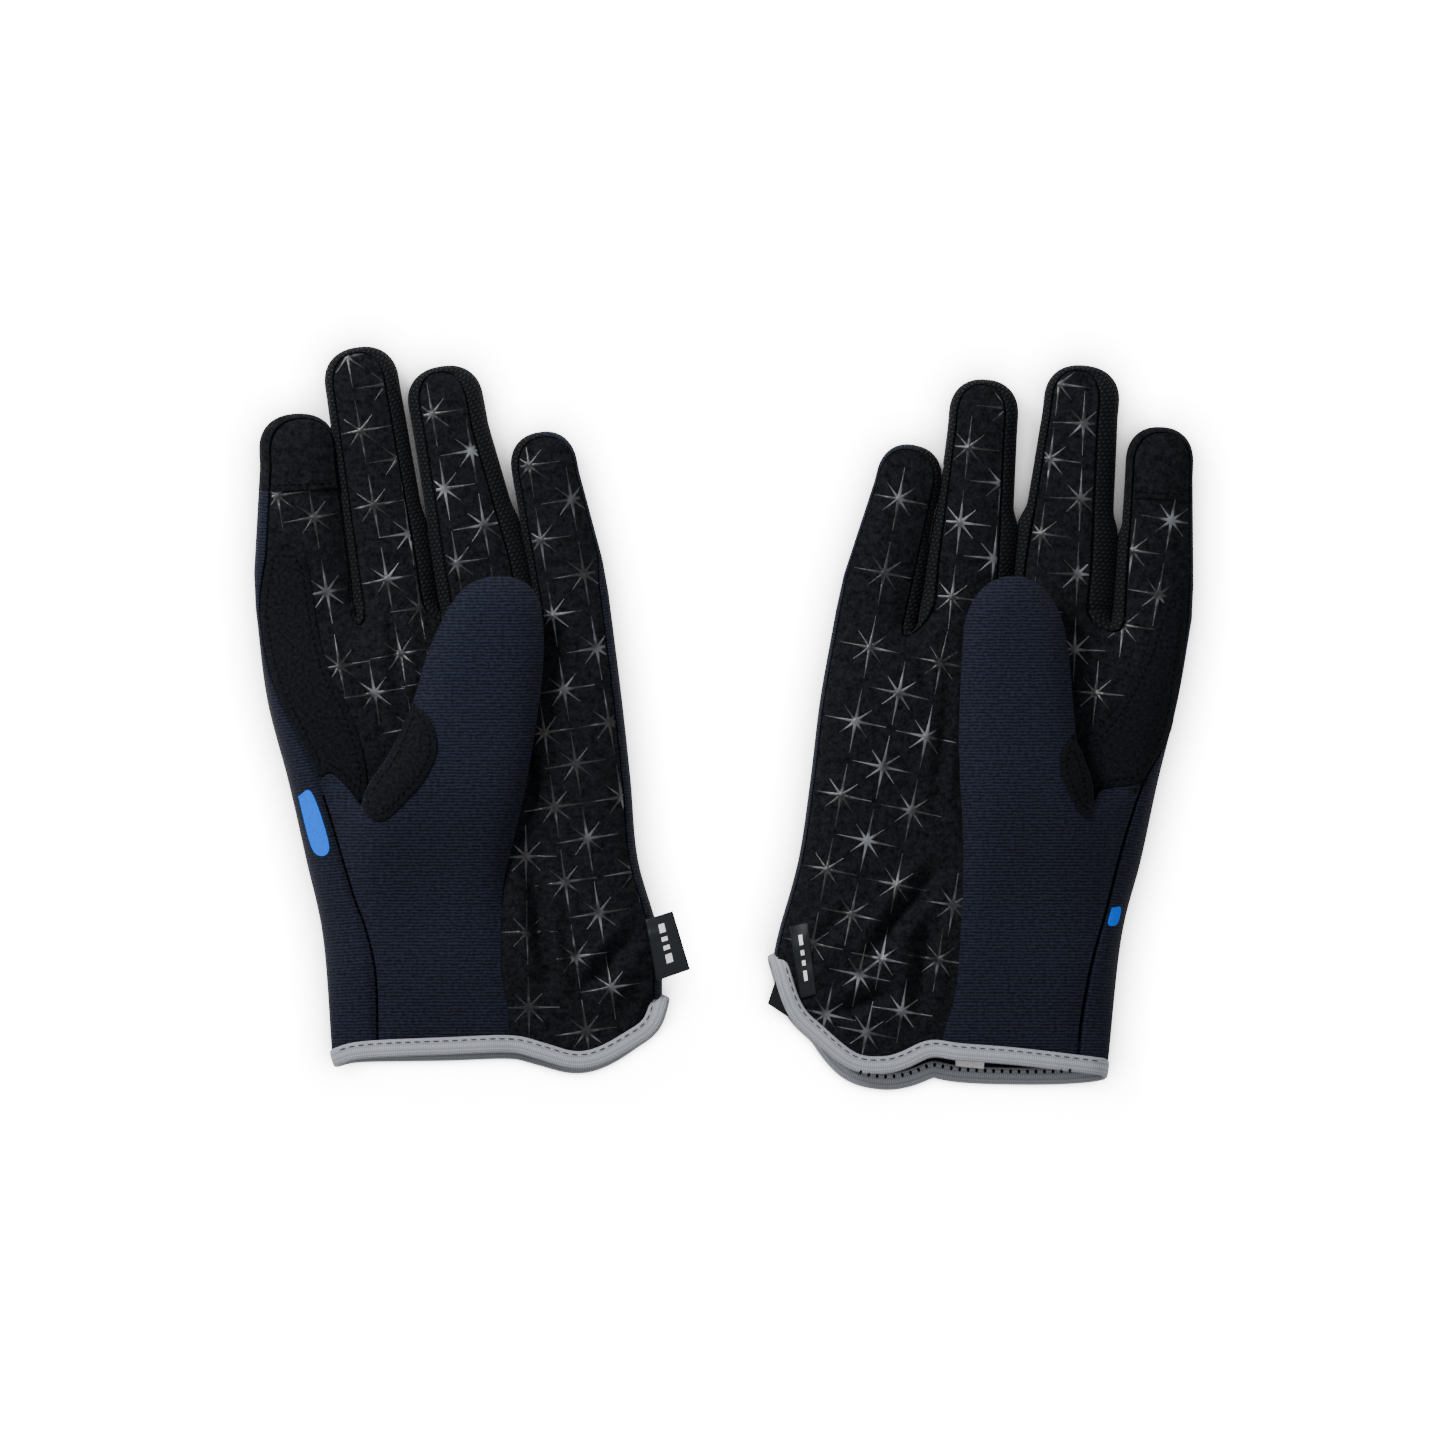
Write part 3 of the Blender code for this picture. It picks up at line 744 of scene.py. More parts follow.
def overlay(outline, tree, lift, spacing=1.2, reach=0.8):
    """A patch that lies on a surface: its raised top, and the cut edge round it."""
    base = np.column_stack((outline[:, :2], drape(tree, outline)))
    rim = base + np.array((0.0, 0.0, 0.6 * lift))
    top = membrane(rim, spacing, lambda points: drape(tree, points) + lift, reach)
    base[:, 2] -= 0.3
    rings = [np.concatenate((ring, ring[:1])) for ring in (rim, base)]
    x, y = base[:, 0], base[:, 1]
    turns_left = (x * np.roll(y, -1) - y * np.roll(x, -1)).sum() > 0
    return join(top, grid_sheet(rings[::-1] if turns_left else rings))


class ThumbCloth:
    """The heel panel and the folded thumb above it, in one outline."""

    def __init__(self, glove, front_tree):
        self.glove = glove
        self.tree = front_tree
        rising = curve(glove.world(THUMB_OUTLINE[glove.name]), 190)
        across = curve(glove.world(HEEL_TOP[glove.name]), 16)
        seam = curve(glove.world(SEAM[glove.name]), 200)
        low = seam[seam[:, 1] < across[-1, 1] - 1.0][::-1]
        low = low[low[:, 1] > rising[0, 1] - 0.8]
        bottom = np.linspace(low[-1], rising[0], 34)
        self.plan_outline = np.concatenate((rising[:-1], across[:-1], low, bottom[1:-1]))

    def gate(self, points):
        """0 where the cloth is sewn down as the heel, 1 where it is free as the thumb."""
        outer, along = self.glove.plan(points)
        return smoothstep(-64.0, -16.0, along) * smoothstep(130.0, 117.0, outer)

    def rim(self):
        flat = drape(self.tree, self.plan_outline) + 0.15
        height = mix(flat, THUMB_EDGE_HEIGHT, self.gate(self.plan_outline))
        return np.column_stack((self.plan_outline, height))

    def top_sheet(self):
        def goal(points):
            outer, along = self.glove.plan(points)
            share = smoothstep(-72.0, -22.0, along) * smoothstep(134.0, 112.0, outer)
            return mix(drape(self.tree, points) + 2.6, THUMB_TOP, share)

        sheet = membrane(self.rim(), FRONT_SPACING, goal, 4.6)
        points = sheet.points
        seed = 11.0 + self.glove.side
        waves, distance = pucker(points, len(self.plan_outline), seed, height=0.22, pitch=6.0, fade=3.5)
        inner = 1 - np.exp(-distance / 6.0)
        dents = 0.9 * ripple(points, 24.0, seed + 1.0, 1.5) + 0.2 * ripple(points, 8.0, seed + 2.0)
        points[:, 2] += waves + dents * inner
        return sheet

    def under_sheet(self):
        sheet = membrane(self.rim(), BACK_SPACING, lambda points: drape(self.tree, points) + 0.6, 3.2)
        free = self.gate(sheet.centres()) > 0.04
        return Sheet(sheet.points, sheet.faces[free], sheet.texture).turned_over()

    def bend_direction(self):
        return np.array((-self.glove.side * sin(THUMB_TILT), cos(THUMB_TILT)))

    def parts(self, sheet):
        """0 the hand, 1 the thumb's base and 2 its tip, for every triangle."""
        centres = sheet.centres()
        root = self.glove.thumb_root
        across = (centres[:, :2] - root.point[:2]) @ self.bend_direction()
        d, _ = root.locate(centres)
        label = (across > THUMB_SPLIT + 0.5).astype(int)
        tip_at = np.linalg.norm((self.glove.thumb_tip.point - root.point)[:2])
        return label + ((label == 1) & (d > tip_at / 2))

    def attach(self, piece, part):
        glove = self.glove
        if part == 0:
            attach(piece, f"{glove.name}_hand")
        elif part == 2:
            glove.thumb_tip.blend(piece)
        else:
            glove.thumb_root.blend(piece, self.bend_direction())

    def part_name(self, part):
        return ("hand", "base", "tip")[part]


# Star print: columns as (outer, along, lean in degrees, count) from each column's top star.
STAR_PITCH = 24.9
STAR_COLUMNS = {
    "left": ((148, 73, 9.5, 1), (136, 66, 9.9, 3), (116, 8, 9.5, 1), (125, 119, 10.1, 6),
             (112, 110, 8.6, 5), (97, 100, 9.5, 5), (84, 88, 9.5, 4), (65, 83, 8.9, 8), (51, 72, 9.6, 6),
             (60, -5, 8.0, 5), (66, -46, 1.0, 3)),
    "right": ((57, 72, 11.0, 7), (57, 8, 12.1, 4), (71, 18, 11.4, 6), (80, 89, 6.3, 3), (93, 102, 5.2, 3),
              (118, 97, 2.3, 4), (110, 110, 7.0, 4), (134, 55, 6.7, 2), (147, 65, 10.0, 2),
              (122, 8, 5.0, 2), (33, -98, 12.0, 1), (44, -85, 12.0, 1), (58, -97, 9.0, 1),
              (70, -80, 9.0, 1), (75, -62, 9.0, 1)),
}
RAYS = (10.2, 6.6, 10.6, 6.6)
RAY_HALF = 0.54
STAR_CORE = 1.1
CORE_CORNERS = 16
STITCH_SWELL = (0.35, 0.9, 1.0, 0.9, 0.35)
STITCH_ROUND = ((1.0, 0.0), (0.6, 0.75), (0.0, 1.0), (-0.6, 0.75), (-1.0, 0.0))
PATCH_STITCH = {"length": 1.5, "gap": 0.9, "width": 0.6, "height": 0.25}

# Plain rounded print on the thumb edge, labels and strips, as (outer, along) corners.
BLUE_PRINT = {
    "left": ((141.2, -26.0), (136.6, -25.0), (130.9, -43.0), (136.2, -44.0)),
    "right": ((127.2, -62.8), (130.2, -62.8), (129.0, -68.2), (126.0, -68.2)),
}
LABEL = {
    "left": ((26.6, -66.8), (17.6, -63.9), (11.8, -83.2), (23.0, -87.0)),
    "right": ((20.9, -69.0), (27.2, -67.8), (29.8, -91.2), (24.4, -92.8)),
}
PULL_TAB = ((13.7, -94.5), (16.9, -85.0), (24.0, -92.0), (20.3, -98.8))
CARE_LABEL = ((75.6, -110.0), (85.5, -111.5), (85.0, -116.0), (75.8, -115.0))
STRIP_HEIGHT = 4.2
STRIP_THICK = 0.7
BAR_ROWS = ((2, 4), (5, 6), (7, 8), (9, 11))
BAR_COLUMNS = (4, 6)
BAR_LIFT = 0.08

# Cuff tape, and how far the cuff's back edge hangs below its front edge.
BACK_DROP = {"left": 1.5, "right": 6.6}
TAPE_STEPS = 150
TAPE_ROUND = 18
TAPE_END = 3
TAPE_HALF_WIDTH = 2.9
TAPE_HALF_THICK = 1.05
TAPE_POWER = 2 / 3
BARS_DROP = 3.0


# Materials

TEXTURE_SCALE = 1 / 100
FLOOR_GLOW = 15.0
# How far and how strongly the painted contact shadow darkens the floor's glow near the gloves.
PAINTED_SHADOW_REACH = 0.014
PAINTED_SHADOW_POWER = 3.0


class Cloth:
    """A node material in the making; its textures use the cloth's own places, at 1 per 100 mm."""

    def __init__(self, name, roughness, sheen=0.0, specular=0.3):
        self.material = bpy.data.materials.new(name)
        self.material.use_nodes = True
        self.nodes = self.material.node_tree.nodes
        self.link = self.material.node_tree.links.new
        self.inputs = self.nodes["Principled BSDF"].inputs
        self.inputs["Roughness"].default_value = roughness
        self.inputs["Specular IOR Level"].default_value = specular
        self.inputs["Sheen Weight"].default_value = sheen
        self.inputs["Sheen Roughness"].default_value = 0.4
        self.place = self.nodes.new("ShaderNodeTexCoord").outputs["UV"]

    def noise(self, scale, detail=3.0):
        node = self.nodes.new("ShaderNodeTexNoise")
        node.inputs["Scale"].default_value = scale
        node.inputs["Detail"].default_value = detail
        self.link(self.place, node.inputs["Vector"])
        return node.outputs["Fac"]

    def wave(self, pitch, direction="Y", distortion=0.0):
        """Ribs with this pitch in millimetres."""
        node = self.nodes.new("ShaderNodeTexWave")
        node.bands_direction = direction
        node.inputs["Scale"].default_value = 2 * pi / 20 / (pitch / 100)
        node.inputs["Distortion"].default_value = distortion
        node.inputs["Detail"].default_value = 1.0
        self.link(self.place, node.inputs["Vector"])
        return node.outputs["Fac"]

    def combine(self, first, second, operation="MULTIPLY"):
        """One value combined with another value or with a plain number."""
        node = self.nodes.new("ShaderNodeMath")
        node.operation = operation
        self.link(first, node.inputs[0])
        if isinstance(second, float):
            node.inputs[1].default_value = second
        else:
            self.link(second, node.inputs[1])
        return node.outputs["Value"]

    def average(self, first, second):
        return self.combine(self.combine(first, second, "ADD"), 0.5)

    def tint(self, factor, dark, light, low=0.3, high=0.7):
        """Colours the cloth from dark to light by a value."""
        node = self.nodes.new("ShaderNodeValToRGB")
        for element, color, at in zip(node.color_ramp.elements, (dark, light), (low, high)):
            element.color = (*color, 1.0)
            element.position = at
        self.link(factor, node.inputs["Fac"])
        self.link(node.outputs["Color"], self.inputs["Base Color"])

    def bump(self, height, depth, strength):
        node = self.nodes.new("ShaderNodeBump")
        node.inputs["Strength"].default_value = strength
        node.inputs["Distance"].default_value = depth * MM
        self.link(height, node.inputs["Height"])
        self.link(node.outputs["Normal"], self.inputs["Normal"])


def suede_material():
    cloth = Cloth("suede", 0.9, sheen=0.03, specular=0.05)
    mottle = cloth.noise(38.0, 4.0)
    grain = cloth.noise(95.0, 2.0)
    relief = cloth.average(mottle, grain)
    cloth.tint(relief, (0.0006, 0.0007, 0.0010), (0.0070, 0.0078, 0.0098), 0.36, 0.66)
    cloth.bump(grain, 0.5, 0.7)
    return cloth.material


def knit_material():
    cloth = Cloth("knit", 0.92, sheen=0.04, specular=0.12)
    ribs_with_groove_shade = cloth.wave(1.05, "Y", 2.0)
    fuzz = cloth.noise(85.0, 2.0)
    fuzz = cloth.combine(fuzz, 2.4)
    # The colour follows the ribs, darker in their grooves as painted shade, and the fuzz, a random heather
    # tone.
    relief = cloth.average(ribs_with_groove_shade, fuzz)
    relief = cloth.combine(relief, 0.5)
    cloth.tint(relief, (0.0004, 0.0006, 0.0020), (0.0074, 0.0096, 0.0210), 0.28, 0.58)
    cloth.bump(relief, 0.5, 0.7)
    return cloth.material


def twill_material():
    cloth = Cloth("twill", 0.85, sheen=0.03, specular=0.12)
    rows = cloth.wave(1.0, "DIAGONAL", 0.3)
    cells = cloth.wave(1.3, "X", 0.3)
    weave = cloth.combine(rows, cells)
    cloth.tint(weave, (0.0002, 0.0003, 0.0006), (0.0100, 0.0120, 0.0185), 0.3, 0.95)
    cloth.bump(weave, 0.3, 0.8)
    return cloth.material


def binding_material():
    cloth = Cloth("binding_tape", 0.75, sheen=0.1, specular=0.25)
    weave = cloth.wave(0.7, "X", 0.4)
    rows = cloth.wave(0.9, "Y", 0.4)
    relief = cloth.combine(weave, rows)
    cloth.tint(relief, (0.150, 0.158, 0.180), (0.270, 0.280, 0.315), 0.0, 0.8)
    cloth.bump(relief, 0.2, 0.6)
    return cloth.material


def star_material():
    cloth = Cloth("star_print", 0.42, specular=0.35)
    # The print's tone runs from near-black to grey by noise, star to star and ray to ray: painted glints for
    # the light the glossy rays catch.
    tone_noise = cloth.noise(2.7, 1.0)
    ray_glint_noise = cloth.noise(16.0, 1.0)
    painted_glints = cloth.average(tone_noise, ray_glint_noise)
    cloth.tint(painted_glints, (0.003, 0.003, 0.004), (0.080, 0.085, 0.097), 0.49, 0.64)
    grain = cloth.noise(60.0, 3.0)
    cloth.bump(grain, 0.3, 0.6)
    return cloth.material


def patch_material():
    cloth = Cloth("patch_suede", 0.95, sheen=0.04, specular=0.05)
    fibres = cloth.noise(90.0, 4.0)
    cloth.tint(fibres, (0.0008, 0.0010, 0.0016), (0.0052, 0.0060, 0.0080))
    cloth.bump(fibres, 0.3, 0.6)
    return cloth.material


def plain_material(name, color, roughness, grain=120.0, depth=0.1, specular=0.3):
    cloth = Cloth(name, roughness, specular=specular)
    tone_noise = cloth.noise(grain, 3.0)
    darker = tuple(0.82 * channel for channel in color)
    cloth.tint(tone_noise, darker, color)
    cloth.bump(tone_noise, depth, 0.5)
    return cloth.material


def floor_material():
    cloth = Cloth("floor", 0.9, specular=0.1)
    cloth.tint(cloth.noise(2.0), (0.93, 0.93, 0.93), (0.95, 0.95, 0.95))
    cloth.inputs["Emission Color"].default_value = (1.0, 1.0, 1.0, 1.0)
    # The floor glows for the camera only, so it looks evenly white; ambient occlusion dims that glow near
    # the gloves, which paints their contact shadow onto the floor.
    openness = cloth.nodes.new("ShaderNodeAmbientOcclusion")
    openness.samples = 16
    openness.inputs["Distance"].default_value = PAINTED_SHADOW_REACH
    painted_shadow = cloth.combine(openness.outputs["AO"], PAINTED_SHADOW_POWER, "POWER")
    seen = cloth.nodes.new("ShaderNodeLightPath").outputs["Is Camera Ray"]
    glow = cloth.combine(seen, FLOOR_GLOW)
    glow = cloth.combine(glow, painted_shadow)
    cloth.link(glow, cloth.inputs["Emission Strength"])
    return cloth.material


class Builder:
    """Turns sheets into named pieces; the hand's pieces ride on the hand's body."""

    def __init__(self, glove, materials):
        self.glove = glove
        self.materials = materials

    def piece(self, name, sheet, chosen, normals, cloth):
        used, index = np.unique(sheet.faces[chosen], return_inverse=True)
        mesh = bpy.data.meshes.new(name)
        mesh.from_pydata((sheet.points[used] * MM).tolist(), [], index.reshape(-1, 3).tolist())
        mesh.materials.append(self.materials[cloth])
        mesh.shade_smooth()
        mesh.normals_split_custom_set_from_vertices(normals[used].tolist())
        corners = np.empty(len(mesh.loops), int)
        mesh.loops.foreach_get("vertex_index", corners)
        places = (sheet.texture[used][corners] * TEXTURE_SCALE).ravel()
        mesh.uv_layers.new(name="cloth").data.foreach_set("uv", places)
        made = bpy.data.objects.new(name, mesh)
        bpy.context.scene.collection.objects.link(made)
        return made

    def pieces(self, kind, sheet, labels, cloth, owner=None, slot=None):
        """One piece for each part of a sheet: a hand part is attached to the hand's body, and other parts
        keep their place baked into the mesh.
        """
        owner = owner or self.glove
        normals = sheet.normals()
        made = {}
        for part in sorted(set(labels[labels >= 0])):
            name = f"{self.glove.name}_{kind}_{owner.part_name(part)}"
            piece = self.piece(name, sheet, labels == part, normals, cloth)
            owner.attach(piece, part)
            made[part] = piece
        return made

    def whole(self, kind, sheet, cloth, slot=None):
        """A sheet as one piece that rides on the hand."""
        return self.pieces(kind, sheet, np.zeros(len(sheet.faces), int), cloth, slot=slot)[0]


def star_rays():
    """One star as (x, y, height) points and faces: eight tapering rays with a ridge, and a round core."""
    points, faces = [], []
    for turn in range(8):
        angle = turn * pi / 4
        length = RAYS[turn % 4]
        ahead = np.array((cos(angle), sin(angle)))
        side = np.array((-ahead[1], ahead[0]))
        steps = int(length / 0.8)
        for share in np.linspace(0.0, 1.0, steps):
            half = RAY_HALF * (1 - share) ** 1.7 + 0.11
            rise = 0.24 * (1 - 0.5 * share)
            for lateral, height in ((half, 0.02), (0.0, rise), (-half, 0.02)):
                points.append((*(ahead * length * share + side * lateral), height))
        first = len(points) - 3 * steps
        for step in range(steps - 1):
            near = first + 3 * step
            for edge in (0, 1):
                a, b, c, d = near + edge, near + edge + 1, near + edge + 4, near + edge + 3
                faces += [(a, b, c), (a, c, d)]
    hub = len(points)
    points.append((0.0, 0.0, 0.3))
    for ring, height in ((0.55, 0.28), (1.0, 0.16)):
        for corner in range(CORE_CORNERS):
            angle = 2 * pi * corner / CORE_CORNERS
            points.append((STAR_CORE * ring * cos(angle), STAR_CORE * ring * sin(angle), height))
    inner, outer = hub + 1, hub + 1 + CORE_CORNERS
    for corner in range(CORE_CORNERS):
        after = (corner + 1) % CORE_CORNERS
        faces.append((hub, inner + corner, inner + after))
        faces.append((inner + corner, outer + corner, outer + after))
        faces.append((inner + corner, outer + after, inner + after))
    points, faces = np.array(points), np.array(faces)
    face_up(points, faces)
    return points, faces


def stick(tree, shape, faces):
    """Lays (x, y, height) points on a surface, leaving out the faces that hang over its edge."""
    placed, found = [], []
    for x, y, height in shape:
        place, normal, _, _ = tree.ray_cast(Vector((x, y, ABOVE_ALL)), DOWN)
        found.append(place is not None)
        placed.append(tuple(place + normal * height) if place else (x, y, 0.0))
    return Sheet(placed, faces[np.array(found)[faces].all(axis=1)])


def star_sheet(glove, tree):
    star, star_faces = star_rays()
    stars = []
    for outer, along, lean, count in STAR_COLUMNS[glove.name]:
        down = np.array((-sin(radians(lean)), -cos(radians(lean)))) * STAR_PITCH
        turn = glove.side * radians(-lean)
        spin = np.array(((cos(turn), -sin(turn)), (sin(turn), cos(turn))))
        for step in range(count):
            centre = glove.world([np.array((outer, along)) + step * down])[0]
            shape = star.copy()
            shape[:, :2] = star[:, :2] @ spin.T + centre
            stars.append(stick(tree, shape, star_faces))
    return join(*(star for star in stars if len(star.faces)))


def stitch_row(tree, row, length, gap, width=0.42, height=0.34):
    """A row of raised stitches laid on a surface."""
    stitches = []
    run = travelled(row[:, :2])
    for start in np.arange(gap, run[-1] - length, length + gap):
        at = start + length * np.linspace(0, 1, len(STITCH_SWELL))
        spine = np.stack([np.interp(at, run, row[:, axis]) for axis in (0, 1)], axis=1)
        ahead = (spine[-1] - spine[0]) / length
        side = np.array((-ahead[1], ahead[0])) * width / 2
        shape = []
        for place, share in zip(spine, STITCH_SWELL):
            for lateral, rise in STITCH_ROUND:
                shape.append((*(place + side * lateral * share), height * rise * share))
        grid = grid_sheet(np.reshape(shape, (len(STITCH_SWELL), len(STITCH_ROUND), 3)))
        stitches.append(stick(tree, shape, grid.turned_over().faces))
    return join(*stitches)


class Cuff:
    """The binding tape round the cuff's mouth."""

    def __init__(self, glove, top_tree):
        line = curve(glove.world(CUFF[glove.name]), TAPE_STEPS)
        heading = unit(np.gradient(line, axis=0))
        away = -glove.side * np.stack((heading[:, 1], -heading[:, 0]), axis=1)
        run = travelled(line)
        from_end = np.minimum(run, run[-1] - run)
        opening = 1 - np.exp(-(from_end + 0.6) / 3.0)
        high = drape(top_tree, line - away * 2.6) + 0.9
        front = np.column_stack((line, EDGE_HEIGHT + (high - EDGE_HEIGHT) * opening))
        below = line + away * (0.6 + glove.back_drop(line))[:, None]
        back = np.column_stack((below, EDGE_HEIGHT - (EDGE_HEIGHT - 1.3) * opening))
        self.ring = np.concatenate((front, back[::-1]))
        self.away = np.concatenate((away, away[::-1]))
        for _ in range(5):
            self.ring = (np.roll(self.ring, 1, axis=0) + 2 * self.ring + np.roll(self.ring, -1, axis=0)) / 4

    def sheet(self):
        ring = self.ring
        tangent = unit(np.roll(ring, -1, axis=0) - np.roll(ring, 1, axis=0))
        away = np.column_stack((self.away, np.zeros(len(ring))))
        outward = unit(np.cross(away, tangent))
        outward *= np.sign(outward[len(ring) // 4, 2])
        turn = np.linspace(0, 2 * pi, TAPE_ROUND, endpoint=False)[:, None]
        wide = TAPE_HALF_WIDTH * superellipse(np.cos(turn), TAPE_POWER)
        thick = TAPE_HALF_THICK * superellipse(np.sin(turn), TAPE_POWER)
        rows = ring[:, None] + away[:, None] * wide + outward[:, None] * thick
        rows = np.concatenate((rows, rows[:1]))
        sheet = grid_sheet(rows, closed=True)
        centre_gap = sheet.centres() - np.repeat(rows.mean(axis=1)[:-1], 2 * TAPE_ROUND, axis=0)
        if (sheet.face_normals() * centre_gap).sum() < 0:
            sheet = sheet.turned_over()
        steps = travelled(rows.mean(axis=1))
        sheet.texture = np.stack(np.meshgrid(turn * 2.0, steps), axis=2).reshape(-1, 2)[:, ::-1]
        return sheet


def part_of_rim(glove, low, high, inset):
    """The seam line on the thumb side between two heights along the glove, moved inward a little."""
    half = len(glove.seam) // 2
    line = glove.seam[:half] if glove.thumb_hand < 0 else glove.seam[half:][::-1]
    along = line[:, 1] - ALONG_SHIFT
    kept = line[(along > low) & (along < high), :2]
    near_thumb = np.abs(kept[:, 0]) > np.abs(glove.index.root.point[0])
    kept = kept[near_thumb | (kept[:, 1] < glove.index.root.point[1] - 20)]
    return kept - np.array((glove.side * inset, 0.0))


def side_patch_outline(glove):
    name = glove.name
    edge = part_of_rim(glove, -19.0, SIDE_PATCH_TOP[name], 0.15)
    inner = curve(glove.world(SIDE_PATCH[name]), 90)
    lower = curve(glove.world(HEEL_TOP[name]), 18)[1:-1]
    top = np.linspace(edge[-1], inner[0], 12)[1:-1]
    return np.concatenate((edge, top, inner, lower + np.array((0.0, 0.3))))


def offset(line, distance):
    """An open line moved sideways, to its left where the distance is positive."""
    heading = unit(np.gradient(line, axis=0))
    return line + distance * np.stack((-heading[:, 1], heading[:, 0]), axis=1)


def inset_line(outline, distance):
    """A line this far inside a closed outline, without the loops that its corners would make."""
    ring = np.concatenate((outline, outline[:1]))[:, :2]
    moved = offset(ring, distance)
    if inside(outline[:, :2], moved).mean() <= 0.5:
        moved = offset(ring, -distance)
    return moved[nearest(ring, moved)[0] > 0.96 * distance]


def decal(outline, tree, spacing=0.9, height=0.12):
    """A thin print that lies on a surface."""
    flat = np.column_stack((outline, np.full(len(outline), height)))
    sheet = membrane(flat, spacing, lambda points: height, 0.5)
    laid = stick(tree, sheet.points, sheet.faces)
    return Sheet(laid.points, laid.faces, sheet.texture)


def patchwork(corners, rows, columns):
    """Evenly spaced places over a four-cornered patch, row by row."""
    down = np.linspace(0, 1, rows)[:, None, None]
    across = np.linspace(0, 1, columns)[:, None]
    return mix(mix(corners[0], corners[3], down), mix(corners[1], corners[2], down), across)


def label_sheet(glove, tree):
    """A folded woven label: a flat loop that stands just above the cloth."""
    rows = patchwork(glove.world(LABEL[glove.name]), 15, 11)
    height = drape(tree, rows.reshape(-1, 2)).reshape(rows.shape[:2])
    ends = np.linspace(0, 1, rows.shape[1])
    height = np.maximum(height, height[:, :1] - 2.0 * ends) + 0.5 + 0.5 * np.sin(pi * ends)
    height = height[:, :1] * 0.15 + height * 0.85
    top = np.concatenate((rows, height[:, :, None]), axis=2)
    under = top[:, ::-1] - np.array((0.0, 0.0, 0.9))
    around = np.concatenate((top, under), axis=1)
    sheet = grid_sheet(around, closed=True)
    wide = np.concatenate((ends, ends[::-1])) * 8.0
    tall = np.linspace(0, 22.0, len(rows))
    sheet.texture = np.stack(np.meshgrid(wide, tall), axis=2).reshape(-1, 2)
    return sheet.facing_up(5 * around.shape[1] + 5), top


def ribbon(glove, corners):
    """A small flat strip: its top, then its underside."""
    places = patchwork(glove.world(corners), 6, 6)
    top = np.concatenate((places, np.full(places.shape[:2] + (1,), STRIP_HEIGHT)), axis=2)
    around = np.concatenate((top, top[:, ::-1] - np.array((0.0, 0.0, STRIP_THICK))), axis=1)
    return grid_sheet(around, closed=True).facing_up(2 * around.shape[1] + 2)


def label_bars(top):
    """Plain bars in place of the label's lettering."""
    left, right = BAR_COLUMNS
    raised = top[:, left:right + 1] + np.array((0.0, 0.0, BAR_LIFT))
    return join(*(grid_sheet(raised[start:end + 1]) for start, end in BAR_ROWS)).facing_up(0)


def cap_outline(glove):
    finger = glove.index
    number = glove.fingers.index(finger)
    mine = (glove.owner == number) & (glove.reach > CAP_START)
    tip = glove.seam[mine, :2]
    base = np.linspace(tip[-1], tip[0], CAP_STEPS + 2)[1:-1]
    return np.concatenate((tip, base))


def build_shell(build, front, flank):
    """The palm, the back, the walls between the fingers and the outer edges, with their named pieces."""
    glove = build.glove
    name = glove.name
    back = glove.back_sheet()
    palm = build.pieces("palm", front, glove.parts(front), "suede", slot="suede")
    rear = build.pieces("back", back, glove.parts(back), "knit", slot="knit")

    labels = glove.flank_parts(flank)
    columns = (flank.faces % len(glove.seam)).min(axis=1)
    to_tip = SIDE_STEPS + TIP_STEPS // 2
    first_tip, last_tip = (np.flatnonzero(glove.owner == number)[to_tip] for number in (0, 3))
    inner = (columns > first_tip) & (columns < last_tip)
    index = glove.fingers.index(glove.index)
    capped = (glove.owner[columns] == index) & (glove.reach[columns] > CAP_START)
    sides = build.pieces("fourchette", flank, np.where(inner & ~capped, labels, -1), "twill", slot="twill")
    edge = Sheet(flank.points, flank.faces, flank.texture[:, ::-1])
    build.pieces("edge", edge, np.where(~inner & ~capped, labels, -1), "knit", slot="knit")
    build.pieces("tip_wrap", flank, np.where(capped, labels, -1), "suede", slot="suede")

    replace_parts(palm[0], f"{name}_palm_panel")
    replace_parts(rear[0], f"{name}_back_panel")
    for left, right in zip(glove.fingers, glove.fingers[1:]):
        inner_name, outer_name = (left.name, right.name)[::glove.side]
        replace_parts(sides[0], f"{name}_fourchette_{inner_name}_{outer_name}")
    for number, finger in enumerate(glove.fingers):
        for kind, made in (("front", palm), ("back", rear)):
            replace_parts(made[1 + 2 * number], f"{name}_{finger.name}_{kind}_base")
            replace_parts(made[2 + 2 * number], f"{name}_{finger.name}_{kind}_tip")


def build_patches(build, cap, patch):
    glove = build.glove
    cap_pieces = build.pieces("index_cap", cap, glove.parts(cap), "suede", slot="suede")
    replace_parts(list(cap_pieces.values())[-1], f"{glove.name}_index_tip_cap")
    patch_pieces = build.pieces("side_patch", patch, glove.parts(patch), "patch", slot="suede")
    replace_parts(patch_pieces[0], f"{glove.name}_index_side_patch")


def build_thumb(build, thumb, top, crotch):
    name = build.glove.name
    under = thumb.under_sheet()
    top_pieces = build.pieces("thumb_cloth", top, thumb.parts(top), "knit", owner=thumb, slot="knit")
    under_pieces = build.pieces("thumb_under", under, thumb.parts(under), "suede", owner=thumb, slot="suede")
    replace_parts(top_pieces[0], f"{name}_heel_panel")
    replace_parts(top_pieces[1], f"{name}_thumb_back")
    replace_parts(under_pieces[1], f"{name}_thumb_front")
    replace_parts(top_pieces[2], f"{name}_thumb_tip")
    crotch_parts = thumb.parts(crotch)
    crotch_pieces = build.pieces("crotch_patch", crotch, crotch_parts, "patch", owner=thumb, slot="suede")
    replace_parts(list(crotch_pieces.values())[0], f"{name}_thumb_crotch_patch")


def build_labels(build, front_tree):
    glove = build.glove
    label, label_top = label_sheet(glove, front_tree)
    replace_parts(build.whole("label", label, "label", slot="label"), f"{glove.name}_side_label")
    build.whole("label_bars", label_bars(label_top), "bars")
    if glove.name == "right":
        build.whole("pull_tab", ribbon(glove, PULL_TAB), "label")
        build.whole("care_label", ribbon(glove, CARE_LABEL), "care")


